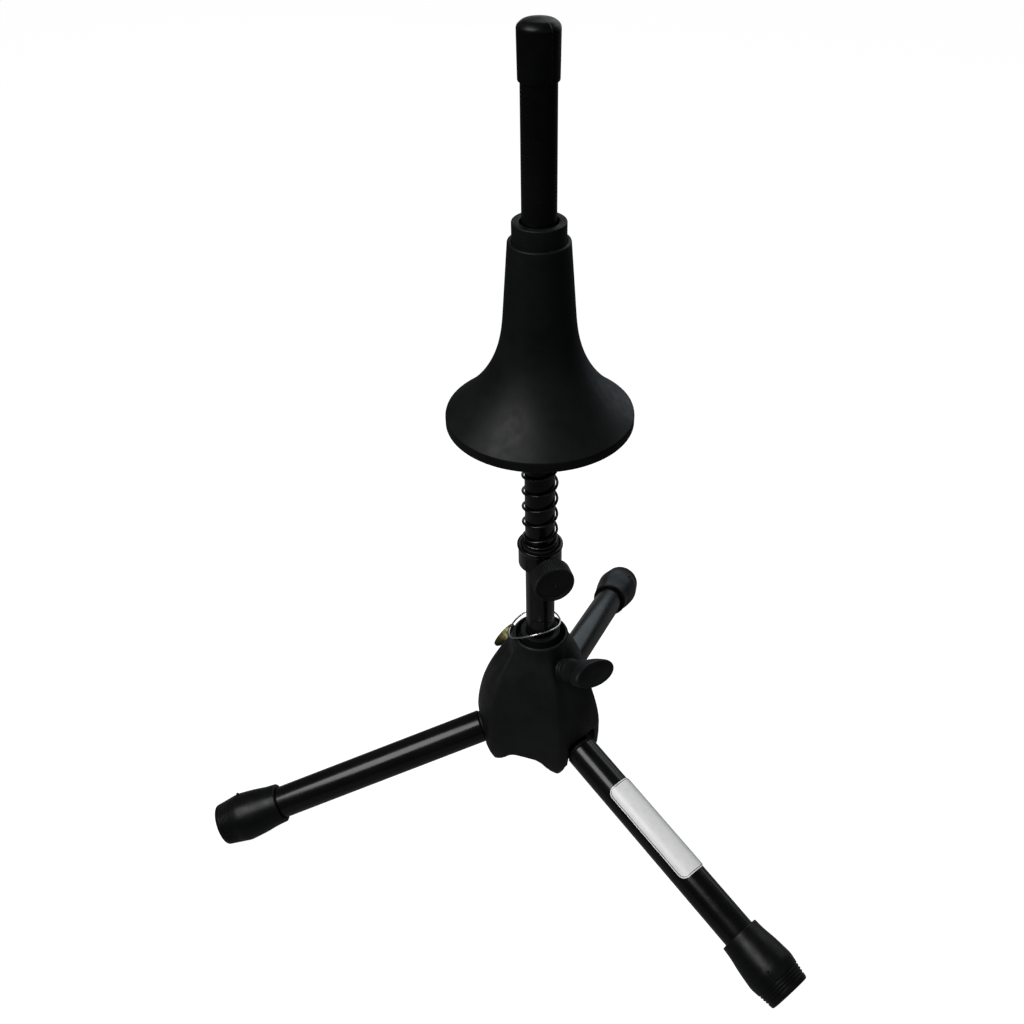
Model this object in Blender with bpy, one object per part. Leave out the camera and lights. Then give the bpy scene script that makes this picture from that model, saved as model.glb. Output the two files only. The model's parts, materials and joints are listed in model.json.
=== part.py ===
"""Folding floor stand for a trumpet.

A plastic hub carries three folding tubular legs and a steel post.  A flared bell support slides
on the post, on a spring, and the spring stands on a collar that a thumbscrew clamps to the post.

Metres, +Z up.  The stand rests on z = 0, and the origin is the middle of its footprint's box.
Round pieces are turned about their own local Z axis, and each moving piece hangs on an empty
that stands on its joint's axis.
"""
import math

import bmesh
import bpy
from mathutils import Matrix, Vector

GAP = 0.0003                      # gap between pieces that touch

# Legs: a pivot in the hub, and stations along the leg's axis counted from that pivot.
LEG_AZIMUTHS = {"left": 210.0, "right": 330.0, "back": 90.0}
LEG_SLOPE = math.radians(18.1)    # below level when the leg is open
LEG_RADIUS = 0.0095
LEG_WALL = 0.0012
PIVOT_RADIUS = 0.0240             # from the post's axis
PIVOT_HEIGHT = 0.0680
TUBE_START = 0.0123
FOOT_START = 0.1448
FOOT_BULGE = 0.1690               # station of the foot's largest diameter
LEG_LENGTH = 0.1833
FOOT_START_RADIUS = 0.01175
FOOT_BULGE_RADIUS = 0.0145
FOOT_END_RADIUS = 0.01225
FOOT_END_WALL = 0.0036
FOOT_EDGE = 0.0006
FOOT_SWELL = ((0.02, 0.0), (0.25, 0.15), (0.58, 0.65), (1.0, 1.0))   # shares of the way to the bulge
LUG_RADIUS = 0.0087
LUG_HALF_WIDTH = 0.0075
PLUG_LENGTH = 0.022               # part of the end plug inside the tube
PLUG_FLANGE = 0.0016              # flange that the tube's end stands on
PLUG_TAPER = 0.0014
PAD_LENGTH = 0.0090               # stop pad on the lug, which meets the slot's ceiling
PAD_INSET = 0.0020
PIN_RADIUS = 0.0025

# Post and its cap.
POST_RADIUS = 0.0080
POST_WALL = 0.0012
POST_BOTTOM = 0.0573
POST_TOP = 0.4636
CAP_BOTTOM = 0.4419
CAP_TOP = 0.4664
CAP_RADIUS_LOW = 0.0090
CAP_RADIUS_HIGH = 0.0093
CAP_SHOULDER = 0.0032             # height of its rounded top

# Hub.
HUB_TOP = 0.1345
HUB_WAIST = 0.0750                # height of the hub's widest section
HUB_WAIST_RADIUS = 0.0376
HUB_DROP = 0.0255                 # how far the dome's outline draws in from waist to top
HUB_CURVE = 1.8                   # exponent of the dome's outline
HUB_SKIRT_DRAW = 0.0034           # how far the skirt draws in from waist to tips
NECK_RADIUS = 0.0156              # short neck that the dome ends in
NECK_TAPER = 0.15
NECK_BLEND = 0.0015
HUB_EDGE = 0.0010                 # chamfer at the neck's top
NOSE_DIP = 0.0026                 # how far each hood is flattened over its leg
NOSE_LOW = 0.0880                 # the flattening grows from this height up,
NOSE_RISE = 0.0300                # over this much,
NOSE_TOP = 0.1300                 # and is gone again at this height
NOSE_FALL = 0.0080
NOSE_WIDTH = 18.0                 # degrees over which it grows from the ridge
HUB_TIP = 0.0500                  # lowest points, beside each leg slot
HUB_ARCH = 0.0585                 # lower edge in the middle of each side panel
HUB_FLOOR = 0.0540
ARCH_HALF_ANGLE = 13.0            # degrees of level edge in the middle of each panel
TIP_END = 37.0                    # degrees from a panel's middle where the edge turns up again
TIP_ROUND = 5.0
TIP_LIFT = 0.0080
PANEL_HALF_ANGLE = 34.5           # degrees, from a panel's middle to its ridge
PANEL_SAG = 0.0010
PANEL_FADE = 0.0517               # height over which the panels fade out below the top
HUB_WALL = 0.0030
MOUTH_RADIUS = 0.0141
MOUTH_DEPTH = 0.0075
SOCKET_RADIUS = 0.0119
SLOT_HALF_WIDTH = 0.0102
SLOT_CEILING = 0.0773
SLOT_CORNER = 0.0040
SLOT_INNER = 0.0137
SLOT_OUTER = 0.0450
SLOT_BELOW = 0.0300
CHEEK_OUTER = 0.0127
CHEEK_WALL = 0.0012
POCKET_LEVELS = (0.0400, 0.0620, 0.0750, 0.0920, 0.1080)
POCKET_WIDTH = 0.86               # share of a panel's width
DRAIN_RADIUS = 0.0065             # hole through the hub's floor under the post
PIN_HOLE_HALF = 0.0160

# Sleeves that the post runs in.
SLEEVE_BORE = 0.0083
SOCKET_SLEEVE_RADIUS = 0.0112
SOCKET_SLEEVE_TOP = 0.1366

# Clamp screws of the hub: azimuth, tilt above level, height where the axis meets the post's axis,
# and the wing knob on each, which is a ribbed ring on a short neck that flares into an oval bar.
FRONT_SCREW = {"azimuth": 330.0, "tilt": math.radians(32.0), "height": 0.1058, "surface": 0.0275,
               "length": 0.0255, "half_span": 0.0136, "half_thick": 0.0070, "base_radius": 0.0071,
               "neck_radius": 0.0064, "flare": 0.36, "roll": math.radians(-8.0), "notch": 0.0010}
REAR_SCREW = {"azimuth": 150.0, "tilt": math.radians(16.0), "height": 0.0998, "surface": 0.0268,
              "length": 0.0066, "half_span": 0.0082, "half_thick": 0.0034, "base_radius": 0.0046,
              "neck_radius": 0.0042, "flare": 0.20, "roll": math.radians(-48.0), "notch": 0.0022}
WING_RING = 0.12                  # shares of a knob's length: its ring, the step down to the neck,
WING_STEP = 0.06
WING_BAR = 0.78                   # and the start of its bar's edge
WING_PARTS = (0.0, 0.12, 0.2, 0.36, 0.5, 0.6, 0.69, 0.78, 0.92)
WING_CROWN = 0.88                 # the end face is this much smaller than the bar
WING_GAP = 0.0008                 # between a boss and its knob
WING_HOLE = 0.6                   # depth of a knob's blind hole, as a share of its length
STUD_RADIUS = 0.0029
STUD_HOLE = 0.0035
STUD_POINT = 0.0015               # length of a stud's cone
NUT_RADIUS = 0.0048
NUT_START = 0.0170                # from the post's axis, along the screw
BOSS_RADIUS = 0.0060
BOSS_ROOT = 0.0006                # how far bosses run into the wall behind them

# Height collar and thumbscrew.
COLLAR_BOTTOM = 0.1861
COLLAR_TOP = 0.1995
COLLAR_RADIUS = 0.01175
COLLAR_RIM_RADIUS = 0.0124
COLLAR_RIM_HEIGHT = 0.0016
COLLAR_BORE = 0.0103
COLLAR_LIP = 0.0094
SEAT_TOP = 0.2000
SEAT_RADIUS = 0.0100
COLLAR_FLOOR = 0.0015             # thickness of the lip that the seat ring stands on
COLLAR_EDGE = 0.0006
COLLAR_BOSS_RADIUS = 0.0043
THUMB_AZIMUTH = 305.2
THUMB_HEIGHT = 0.1905
THUMB_RADIUS = 0.0111
THUMB_BACK = 0.0172               # knob's back and face, from the post's axis
THUMB_FACE = 0.0266
THUMB_EDGE = 0.0006
THUMB_HOLE = 0.0065
THUMB_DISH = 0.0007
THUMB_RIM = 0.0017                # width of the rim round the dished face

# Bell support, its guide sleeve and the spring.
BELL_TOP = 0.3720
BELL_TOP_RADIUS = 0.0146
BELL_TAPER_END = 0.3370
BELL_TAPER_RADIUS = 0.0172
BELL_RIM_TOP = 0.2825
BELL_RIM_RADIUS = 0.0467
BELL_RIM_THICKNESS = 0.0052
BELL_FLARE = 2.6                  # exponent of the flare
BELL_WALL = 0.0026
BELL_EDGE = 0.0006
BELL_STEP = 0.0020                # width of the step under the guide sleeve's seat
GUIDE_RADIUS = 0.0126
GUIDE_BORE = 0.0090
GUIDE_TOP = 0.3812
GUIDE_BOTTOM = 0.2960
SPRING_RADIUS = 0.0090            # to the middle of the wire
SPRING_WIRE = 0.0014
SPRING_TURNS = 11.0
SPRING_END_PITCH = 0.0018
SPRING_START = 164.0              # azimuth of the wire's lower end
WIRE_SIDES = 6

# Sticker on the right leg, and the wire loop on the hub's mouth.
LABEL_START = 0.0425
LABEL_END = 0.1065
LABEL_HALF_ANGLE = 58.0
LABEL_ROLL = 3.0                  # degrees from the top of the leg towards the left leg
LABEL_THICKNESS = 0.0003
LOOP_WIRE = 0.0005                # radius of the wire
LOOP_RADIUS = 0.0147
LOOP_CENTRE = (-0.0036, 0.0003)   # from the post's axis
LOOP_HEIGHT = 0.1386
LOOP_TILT = 0.0055                # half the rise across the loop
LOOP_TILT_AZIMUTH = 342.6
LOOP_BEND = 0.0020                # how far its two halves are bent down
LOOP_BEND_AZIMUTH = 20.0

ROUND = 32                        # facets round a turned piece
HUB_STEPS = 72                    # facets round the hub
HUB_ROWS = 11


def footprint_shift():
    """Y of the post's axis when the origin is the middle of the footprint's box."""
    tip = PIVOT_RADIUS + LEG_LENGTH * math.cos(LEG_SLOPE)
    lean = math.sin(LEG_SLOPE)
    back_reach = tip + FOOT_END_RADIUS * lean
    side = math.radians(30.0)
    front_reach = tip * math.sin(side) + FOOT_END_RADIUS * math.hypot(lean * math.sin(side), math.cos(side))
    return (front_reach - back_reach) / 2


POST_Y = footprint_shift()


# ---------------------------------------------------------------- helpers

def clear_scene():
    for obj in list(bpy.data.objects):
        bpy.data.objects.remove(obj, do_unlink=True)


def material(name, color, roughness, metallic=0.0):
    mat = bpy.data.materials.new(name)
    mat.use_nodes = True
    shader = mat.node_tree.nodes["Principled BSDF"]
    shader.inputs["Base Color"].default_value = (*color, 1.0)
    shader.inputs["Roughness"].default_value = roughness
    shader.inputs["Metallic"].default_value = metallic
    return mat


def empty(name, matrix, parent=None):
    obj = bpy.data.objects.new(name, None)
    bpy.context.collection.objects.link(obj)
    obj.parent = parent
    obj.matrix_basis = matrix
    return obj


def finish_mesh(bm, name):
    """Turn a bmesh into a smooth-shaded mesh with its faces pointing out."""
    bmesh.ops.recalc_face_normals(bm, faces=bm.faces)
    mesh = bpy.data.meshes.new(name)
    bm.to_mesh(mesh)
    bm.free()
    mesh.shade_smooth()
    mesh.set_sharp_from_angle(angle=math.radians(35))
    return mesh


def piece(name, mesh, mat, parent, matrix=None):
    obj = bpy.data.objects.new(name, mesh)
    bpy.context.collection.objects.link(obj)
    if not mesh.materials:
        mesh.materials.append(mat)
    obj.parent = parent
    if matrix is not None:
        obj.matrix_basis = matrix
    return obj


def loft(rings, closed_loop=False):
    """Skin a list of rings of points.  A ring of one point is a pole."""
    bm = bmesh.new()
    rows = [[bm.verts.new(point) for point in ring] for ring in rings]
    pairs = list(zip(rows, rows[1:]))
    if closed_loop:
        pairs.append((rows[-1], rows[0]))
    for low, high in pairs:
        count = max(len(low), len(high))
        for i in range(count):
            j = (i + 1) % count
            corners = [low[i % len(low)], low[j % len(low)], high[j % len(high)], high[i % len(high)]]
            unique = list(dict.fromkeys(corners))
            if len(unique) > 2:
                bm.faces.new(unique)
    if not closed_loop:
        for ring in (rows[0], rows[-1]):
            if len(ring) > 2:
                bm.faces.new(ring)
    return bm


def turned_rings(profile, segments):
    rings = []
    for radius, height in profile:
        if radius == 0:
            rings.append([(0, 0, height)])
            continue
        angles = [2 * math.pi * i / segments for i in range(segments)]
        rings.append([(radius * math.cos(a), radius * math.sin(a), height) for a in angles])
    return rings


def turned(name, profile, segments=ROUND):
    """Turn a profile of (radius, height) points about Z.

    A profile that starts and ends on the axis is a solid; any other one closes on itself.
    """
    solid = profile[0][0] == 0 and profile[-1][0] == 0
    return finish_mesh(loft(turned_rings(profile, segments), closed_loop=not solid), name)


def tube_profile(inner, outer, low, high):
    return [(inner, low), (outer, low), (outer, high), (inner, high)]


def rod_profile(radius, low, high, chamfer=0.0):
    points = [(0, low)]
    if chamfer:
        points += [(radius - chamfer, low), (radius, low + chamfer)]
        points += [(radius, high - chamfer), (radius - chamfer, high)]
    else:
        points += [(radius, low), (radius, high)]
    return points + [(0, high)]


def box_mesh(name, low, high):
    bm = bmesh.new()
    bmesh.ops.create_cube(bm, size=1.0)
    for vert in bm.verts:
        for axis in range(3):
            vert.co[axis] = high[axis] if vert.co[axis] > 0 else low[axis]
    return finish_mesh(bm, name)


def prism(name, outline, low, high):
    """Extrude an outline of (x, y) points from low to high along Z."""
    rings = [[(x, y, z) for x, y in outline] for z in (low, high)]
    return finish_mesh(loft(rings), name)


def combine(target, tool_mesh, matrix, operation="DIFFERENCE"):
    """Cut or join a tool, placed in the target's own space, and keep the result as the mesh."""
    tool = bpy.data.objects.new("tool", tool_mesh)
    bpy.context.collection.objects.link(tool)
    tool.matrix_basis = target.matrix_basis @ matrix
    tool.parent = target.parent
    step = target.modifiers.new("step", "BOOLEAN")
    step.operation = operation
    step.solver = "EXACT"
    step.object = tool
    bpy.context.view_layer.update()
    graph = bpy.context.evaluated_depsgraph_get()
    result = bpy.data.meshes.new_from_object(target.evaluated_get(graph))
    target.modifiers.clear()
    bpy.data.objects.remove(tool, do_unlink=True)
    result.name = target.name
    result.materials.clear()
    result.materials.append(target.data.materials[0])
    target.data = result


def smooth(target, angle=35):
    target.data.shade_smooth()
    target.data.set_sharp_from_angle(angle=math.radians(angle))


def radial(azimuth_deg):
    azimuth = math.radians(azimuth_deg)
    return Vector((math.cos(azimuth), math.sin(azimuth), 0))


def point_at(azimuth_deg, radius, height):
    return tuple(radial(azimuth_deg) * radius + Vector((0, 0, height)))


def screw_matrix(azimuth_deg, tilt, height, roll=0.0):
    """Frame whose Z runs out along a screw that meets the post's axis at the given height."""
    out = radial(azimuth_deg) * math.cos(tilt) + Vector((0, 0, math.sin(tilt)))
    across = Vector((0, 0, 1)).cross(radial(azimuth_deg))
    up = out.cross(across)
    matrix = Matrix((across, up, out)).transposed().to_4x4()
    matrix.translation = Vector((0, 0, height))
    return matrix @ Matrix.Rotation(roll, 4, "Z")


def place_of(screw):
    return screw_matrix(screw["azimuth"], screw["tilt"], screw["height"])


def leg_matrix(azimuth_deg):
    """Frame on a leg's pivot: X along the open leg, Y along the pin, Z up from the leg."""
    out = radial(azimuth_deg)
    along = out * math.cos(LEG_SLOPE) - Vector((0, 0, math.sin(LEG_SLOPE)))
    pin = Vector((0, 0, 1)).cross(out)
    matrix = Matrix((along, pin, along.cross(pin))).transposed().to_4x4()
    matrix.translation = out * PIVOT_RADIUS + Vector((0, 0, PIVOT_HEIGHT))
    return matrix


ALONG_X = Matrix.Rotation(math.pi / 2, 4, "Y")       # turns a piece's Z axis onto +X
ALONG_Y = Matrix.Rotation(-math.pi / 2, 4, "X")      # turns a piece's Z axis onto +Y


# ---------------------------------------------------------------- hub

def smoothstep(value):
    value = min(max(value, 0.0), 1.0)
    return value * value * (3 - 2 * value)


def smooth_max(first, second, blend):
    return (first + second + math.hypot(first - second, blend)) / 2


def dome_radius(height):
    """Radius at the hub's ridges: a skirt, a dome above the waist, and a short neck on top."""
    if height < HUB_WAIST:
        below = (HUB_WAIST - height) / (HUB_WAIST - HUB_TIP)
        return HUB_WAIST_RADIUS - HUB_SKIRT_DRAW * below ** 4
    rise = (height - HUB_WAIST) / (HUB_TOP - HUB_WAIST)
    dome = HUB_WAIST_RADIUS - HUB_DROP * rise ** HUB_CURVE
    neck = NECK_RADIUS + NECK_TAPER * (HUB_TOP - height)
    return smooth_max(dome, neck, NECK_BLEND)


def nose_dip(height):
    """How much a hood is flattened at a height: nothing at the waist and nothing at the neck."""
    grown = smoothstep((height - NOSE_LOW) / NOSE_RISE)
    return NOSE_DIP * grown * smoothstep((NOSE_TOP - height) / NOSE_FALL)


def hub_radius(from_panel_deg, height):
    """Outer radius of the hub: a dome with three flat panels, and a flattened hood over each leg."""
    dome = dome_radius(height)
    angle = abs(from_panel_deg)
    if angle >= PANEL_HALF_ANGLE:
        return dome - nose_dip(height) * smoothstep((angle - PANEL_HALF_ANGLE) / NOSE_WIDTH)
    flat = dome * math.cos(math.radians(PANEL_HALF_ANGLE)) / math.cos(math.radians(angle))
    flat -= PANEL_SAG * math.cos(math.pi / 2 * angle / PANEL_HALF_ANGLE)
    return dome + (flat - dome) * smoothstep((HUB_TOP - height) / PANEL_FADE)


def hub_edge(from_panel_deg):
    """Height of the hub's lower edge: an arch under each panel and a rounded tip at each ridge."""
    angle = abs(from_panel_deg)
    toward_tip = smoothstep((angle - ARCH_HALF_ANGLE) / (PANEL_HALF_ANGLE - ARCH_HALF_ANGLE))
    past_tip = min(max(angle - TIP_END, 0.0), TIP_ROUND) / TIP_ROUND
    return HUB_ARCH + (HUB_TIP - HUB_ARCH) * toward_tip + TIP_LIFT * past_tip ** 2


def hub_shell():
    """Closed outer shape of the hub, with a shallow cone as its underside round a flat floor."""
    angles = [360 / HUB_STEPS * i for i in range(HUB_STEPS)]
    rings = [[point_at(a, SOCKET_RADIUS, HUB_FLOOR) for a in angles]]
    for row in range(HUB_ROWS + 1):
        ring = []
        for azimuth in angles:
            from_panel = (azimuth + 30) % 120 - 60
            edge = hub_edge(from_panel)
            height = edge + (HUB_TOP - HUB_EDGE - edge) * (row / HUB_ROWS)
            ring.append(point_at(azimuth, hub_radius(from_panel, height), height))
        rings.append(ring)
    rings.append([point_at(a, NECK_RADIUS - HUB_EDGE / 2, HUB_TOP) for a in angles])
    return finish_mesh(loft(rings), "hub_housing")


def hub_pocket():
    """Core between two leg slots, open below; local X points at the middle of the panel."""
    between = math.radians(60)
    ridge = math.radians(PANEL_HALF_ANGLE)
    corner = CHEEK_OUTER / math.sin(between)
    rings = []
    for height in POCKET_LEVELS:
        face = dome_radius(height) * math.cos(ridge) - PANEL_SAG - HUB_WALL
        half = face * math.tan(ridge) * POCKET_WIDTH
        cheek = min(corner + half / math.tan(between), face - HUB_WALL / 2)
        rings.append([(corner + CHEEK_WALL, 0, height), (cheek, -half, height), (face, -half, height),
                      (face, half, height), (cheek, half, height)])
    return finish_mesh(loft(rings), "hub_pocket")


def slot_outline():
    """Outline across a leg slot, (across, height), with rounded upper corners."""
    points = [(-SLOT_HALF_WIDTH, SLOT_BELOW), (SLOT_HALF_WIDTH, SLOT_BELOW)]
    for side, start in ((1, 0), (-1, 90)):
        for i in range(4):
            angle = math.radians(start + 30 * i)
            across = side * (SLOT_HALF_WIDTH - SLOT_CORNER) + SLOT_CORNER * math.cos(angle)
            points.append((across, SLOT_CEILING - SLOT_CORNER + SLOT_CORNER * math.sin(angle)))
    return points


def socket_cutter():
    """Bore for the sleeve, the recess of the mouth above it and the drain below."""
    floor = POST_BOTTOM - GAP
    step = HUB_TOP - MOUTH_DEPTH
    above = HUB_TOP + HUB_EDGE
    below = HUB_FLOOR - 2 * MOUTH_DEPTH
    profile = [(0, below), (DRAIN_RADIUS, below), (DRAIN_RADIUS, floor), (SOCKET_RADIUS, floor),
               (SOCKET_RADIUS, step), (MOUTH_RADIUS, step + HUB_EDGE), (MOUTH_RADIUS, above), (0, above)]
    return turned("socket", profile)


def screw_hole_cutter():
    """Hole for a stud, stepped out to the nut."""
    inside = SOCKET_RADIUS / 2
    outside = SLOT_OUTER
    shoulder = NUT_START - GAP
    wide = NUT_RADIUS + GAP
    profile = [(0, inside), (STUD_HOLE, inside), (STUD_HOLE, shoulder), (wide, shoulder), (wide, outside),
               (0, outside)]
    return turned("screw_hole", profile, 20)


def make_hub(stand, mat):
    hub = piece("hub_housing", hub_shell(), mat, stand)
    stand_up = Matrix(((0, 0, 1, 0), (1, 0, 0, 0), (0, 1, 0, 0), (0, 0, 0, 1)))
    for azimuth in LEG_AZIMUTHS.values():
        turn = Matrix.Rotation(math.radians(azimuth), 4, "Z")
        combine(hub, prism("slot", slot_outline(), SLOT_INNER, SLOT_OUTER), turn @ stand_up)
        opposite = Matrix.Rotation(math.radians(azimuth + 180), 4, "Z")
        combine(hub, hub_pocket(), opposite)
        pin_hole = turned("pin_hole", rod_profile(PIN_RADIUS + GAP, -PIN_HOLE_HALF, PIN_HOLE_HALF), 16)
        pivot = Matrix.Translation((PIVOT_RADIUS, 0, PIVOT_HEIGHT))
        combine(hub, pin_hole, turn @ pivot @ ALONG_Y)
    for screw in (FRONT_SCREW, REAR_SCREW):
        boss = rod_profile(BOSS_RADIUS, SOCKET_RADIUS + BOSS_ROOT, screw["surface"], WING_GAP)
        combine(hub, turned("boss", boss, 24), place_of(screw), "UNION")
    combine(hub, socket_cutter(), Matrix())
    for screw in (FRONT_SCREW, REAR_SCREW):
        combine(hub, screw_hole_cutter(), place_of(screw))
    smooth(hub, 28)


def make_socket_sleeve(stand, mat):
    profile = tube_profile(SLEEVE_BORE, SOCKET_SLEEVE_RADIUS, POST_BOTTOM, SOCKET_SLEEVE_TOP)
    sleeve = piece("socket_sleeve", turned("socket_sleeve", profile), mat, stand)
    hole = rod_profile(STUD_HOLE, SLEEVE_BORE / 2, 2 * SOCKET_SLEEVE_RADIUS)
    for screw in (FRONT_SCREW, REAR_SCREW):
        combine(sleeve, turned("stud_hole", hole, 20), place_of(screw))
    smooth(sleeve)


def make_clamp_nut(name, screw, stand, mat):
    profile = tube_profile(STUD_RADIUS + GAP, NUT_RADIUS, NUT_START, screw["surface"] - WING_GAP)
    piece(name, turned(name, profile, 20), mat, stand, place_of(screw))


def make_pivot_pin(side, stand, mat):
    turn = Matrix.Rotation(math.radians(LEG_AZIMUTHS[side]), 4, "Z")
    pivot = Matrix.Translation((PIVOT_RADIUS, 0, PIVOT_HEIGHT))
    half = CHEEK_OUTER - GAP
    profile = rod_profile(PIN_RADIUS, -half, half, 0.0004)
    piece(f"pivot_pin_{side}", turned("pivot_pin", profile, 16), mat, stand, turn @ pivot @ ALONG_Y)


def loop_point(angle):
    """Point of the wire loop, which hangs round the post and is bent over the hub's neck."""
    height = LOOP_HEIGHT + LOOP_TILT * math.cos(angle - math.radians(LOOP_TILT_AZIMUTH))
    height -= LOOP_BEND * math.cos(2 * (angle - math.radians(LOOP_BEND_AZIMUTH)))
    x = LOOP_CENTRE[0] + LOOP_RADIUS * math.cos(angle)
    y = LOOP_CENTRE[1] + LOOP_RADIUS * math.sin(angle)
    return Vector((x, y, height))


def make_tag_loop(stand, mat):
    steps = 32
    path = [loop_point(2 * math.pi * i / steps) for i in range(steps)]
    rings = []
    for i, point in enumerate(path):
        along = (path[(i + 1) % steps] - path[i - 1]).normalized()
        side = along.cross(Vector((0, 0, 1))).normalized()
        up = side.cross(along)
        corners = [2 * math.pi * k / WIRE_SIDES for k in range(WIRE_SIDES)]
        rings.append([tuple(point + (side * math.cos(a) + up * math.sin(a)) * LOOP_WIRE) for a in corners])
    piece("tag_loop", finish_mesh(loft(rings, closed_loop=True), "tag_loop"), mat, stand)


# ---------------------------------------------------------------- screws

def oval(half_x, half_y, height, segments=24):
    angles = [2 * math.pi * i / segments for i in range(segments)]
    return [(half_x * math.cos(a), half_y * math.sin(a), height) for a in angles]


def wing_half_widths(screw, part):
    """Half span and half thickness of a wing knob at a share of its length."""
    base = screw["base_radius"]
    neck = screw["neck_radius"]
    waist = base + (neck - base) * smoothstep((part - WING_RING) / WING_STEP)
    grow = smoothstep((part - screw["flare"]) / (WING_BAR - screw["flare"]))
    return waist + (screw["half_span"] - waist) * grow, waist + (screw["half_thick"] - waist) * grow


def make_wing_knob(name, screw, parent, mat):
    """Knob with a ring and a neck that flares into an oval bar, and a blind hole for its stud."""
    start = screw["surface"] + WING_GAP
    length = screw["length"]
    hole = STUD_RADIUS + GAP
    bottom = start + length * WING_HOLE
    rings = [[(0, 0, bottom)], oval(hole, hole, bottom), oval(hole, hole, start)]
    for part in WING_PARTS:
        rings.append(oval(*wing_half_widths(screw, part), start + length * part))
    half_x, half_y = wing_half_widths(screw, 1.0)
    rings.append(oval(half_x * WING_CROWN, half_y * WING_CROWN, start + length))
    rings.append([(0, 0, start + length - screw["notch"])])
    roll = Matrix.Rotation(screw["roll"], 4, "Z")
    piece(f"{name}_knob", finish_mesh(loft(rings), name), mat, parent, roll)


def make_stud(name, low, high, parent, mat):
    """Threaded rod with a pointed end that presses on the post."""
    profile = [(0, low), (STUD_RADIUS / 2, low), (STUD_RADIUS, low + STUD_POINT), (STUD_RADIUS, high),
               (0, high)]
    piece(f"{name}_stud", turned(name, profile, 16), mat, parent)


def make_wing_screw(name, screw, stand, knob_mat, stud_mat):
    tilt = screw["tilt"]
    joint = empty(f"{name}_axis", place_of(screw), stand)
    make_wing_knob(name, screw, joint, knob_mat)
    tip = (POST_RADIUS + 2 * GAP + STUD_RADIUS / 2 * math.sin(tilt)) / math.cos(tilt)
    end = screw["surface"] + WING_GAP + screw["length"] * WING_HOLE - GAP
    make_stud(name, tip, end, joint, stud_mat)


def make_thumbscrew(stand, knob_mat, stud_mat):
    joint = empty("thumbscrew_axis", screw_matrix(THUMB_AZIMUTH, 0.0, THUMB_HEIGHT), stand)
    hole = STUD_RADIUS + GAP
    depth = THUMB_BACK + THUMB_HOLE
    edge = THUMB_EDGE
    profile = [(0, depth), (hole, depth), (hole, THUMB_BACK), (THUMB_RADIUS - edge, THUMB_BACK),
               (THUMB_RADIUS, THUMB_BACK + edge), (THUMB_RADIUS, THUMB_FACE - edge),
               (THUMB_RADIUS - edge, THUMB_FACE), (THUMB_RADIUS - THUMB_RIM, THUMB_FACE),
               (THUMB_RADIUS - THUMB_RIM - edge, THUMB_FACE - THUMB_DISH), (0, THUMB_FACE - THUMB_DISH)]
    piece("thumbscrew_knob", turned("thumbscrew_knob", profile), knob_mat, joint)
    make_stud("thumbscrew", POST_RADIUS + 2 * GAP, depth - GAP, joint, stud_mat)


# ---------------------------------------------------------------- collar, bell support, spring

def make_collar(stand, collar_mat, seat_mat):
    """Collar with a rim round its top, and the seat ring in it that the spring stands on."""
    lip_top = COLLAR_BOTTOM + COLLAR_FLOOR
    rim_low = COLLAR_TOP - COLLAR_RIM_HEIGHT
    edge = COLLAR_EDGE
    profile = [(COLLAR_LIP, COLLAR_BOTTOM), (COLLAR_RADIUS - edge, COLLAR_BOTTOM),
               (COLLAR_RADIUS, COLLAR_BOTTOM + edge), (COLLAR_RADIUS, rim_low - edge),
               (COLLAR_RIM_RADIUS, rim_low), (COLLAR_RIM_RADIUS, COLLAR_TOP - edge),
               (COLLAR_RIM_RADIUS - edge, COLLAR_TOP), (COLLAR_BORE, COLLAR_TOP),
               (COLLAR_BORE, lip_top), (COLLAR_LIP, lip_top)]
    collar = piece("height_collar", turned("height_collar", profile), collar_mat, stand)
    place = screw_matrix(THUMB_AZIMUTH, 0.0, THUMB_HEIGHT)
    boss = rod_profile(COLLAR_BOSS_RADIUS, COLLAR_BORE + BOSS_ROOT, THUMB_BACK - WING_GAP)
    combine(collar, turned("boss", boss, 20), place, "UNION")
    hole = rod_profile(STUD_RADIUS + GAP, SLEEVE_BORE / 2, THUMB_FACE)
    combine(collar, turned("hole", hole, 16), place)
    smooth(collar)
    seat_profile = tube_profile(SLEEVE_BORE, SEAT_RADIUS, lip_top + GAP, SEAT_TOP)
    seat = piece("spring_seat", turned("spring_seat", seat_profile), seat_mat, stand)
    combine(seat, turned("seat_hole", hole, 16), place)
    smooth(seat)


def bell_radius(height):
    """Outer radius of the bell support: a slight taper that runs on into a flare."""
    taper = (BELL_TAPER_RADIUS - BELL_TOP_RADIUS) / (BELL_TOP - BELL_TAPER_END)
    straight = BELL_TOP_RADIUS + taper * (BELL_TOP - height)
    if height >= BELL_TAPER_END:
        return straight
    reach = (BELL_TAPER_END - height) / (BELL_TAPER_END - BELL_RIM_TOP)
    full = BELL_RIM_RADIUS - BELL_TOP_RADIUS - taper * (BELL_TOP - BELL_RIM_TOP)
    return straight + full * reach ** BELL_FLARE


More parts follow.
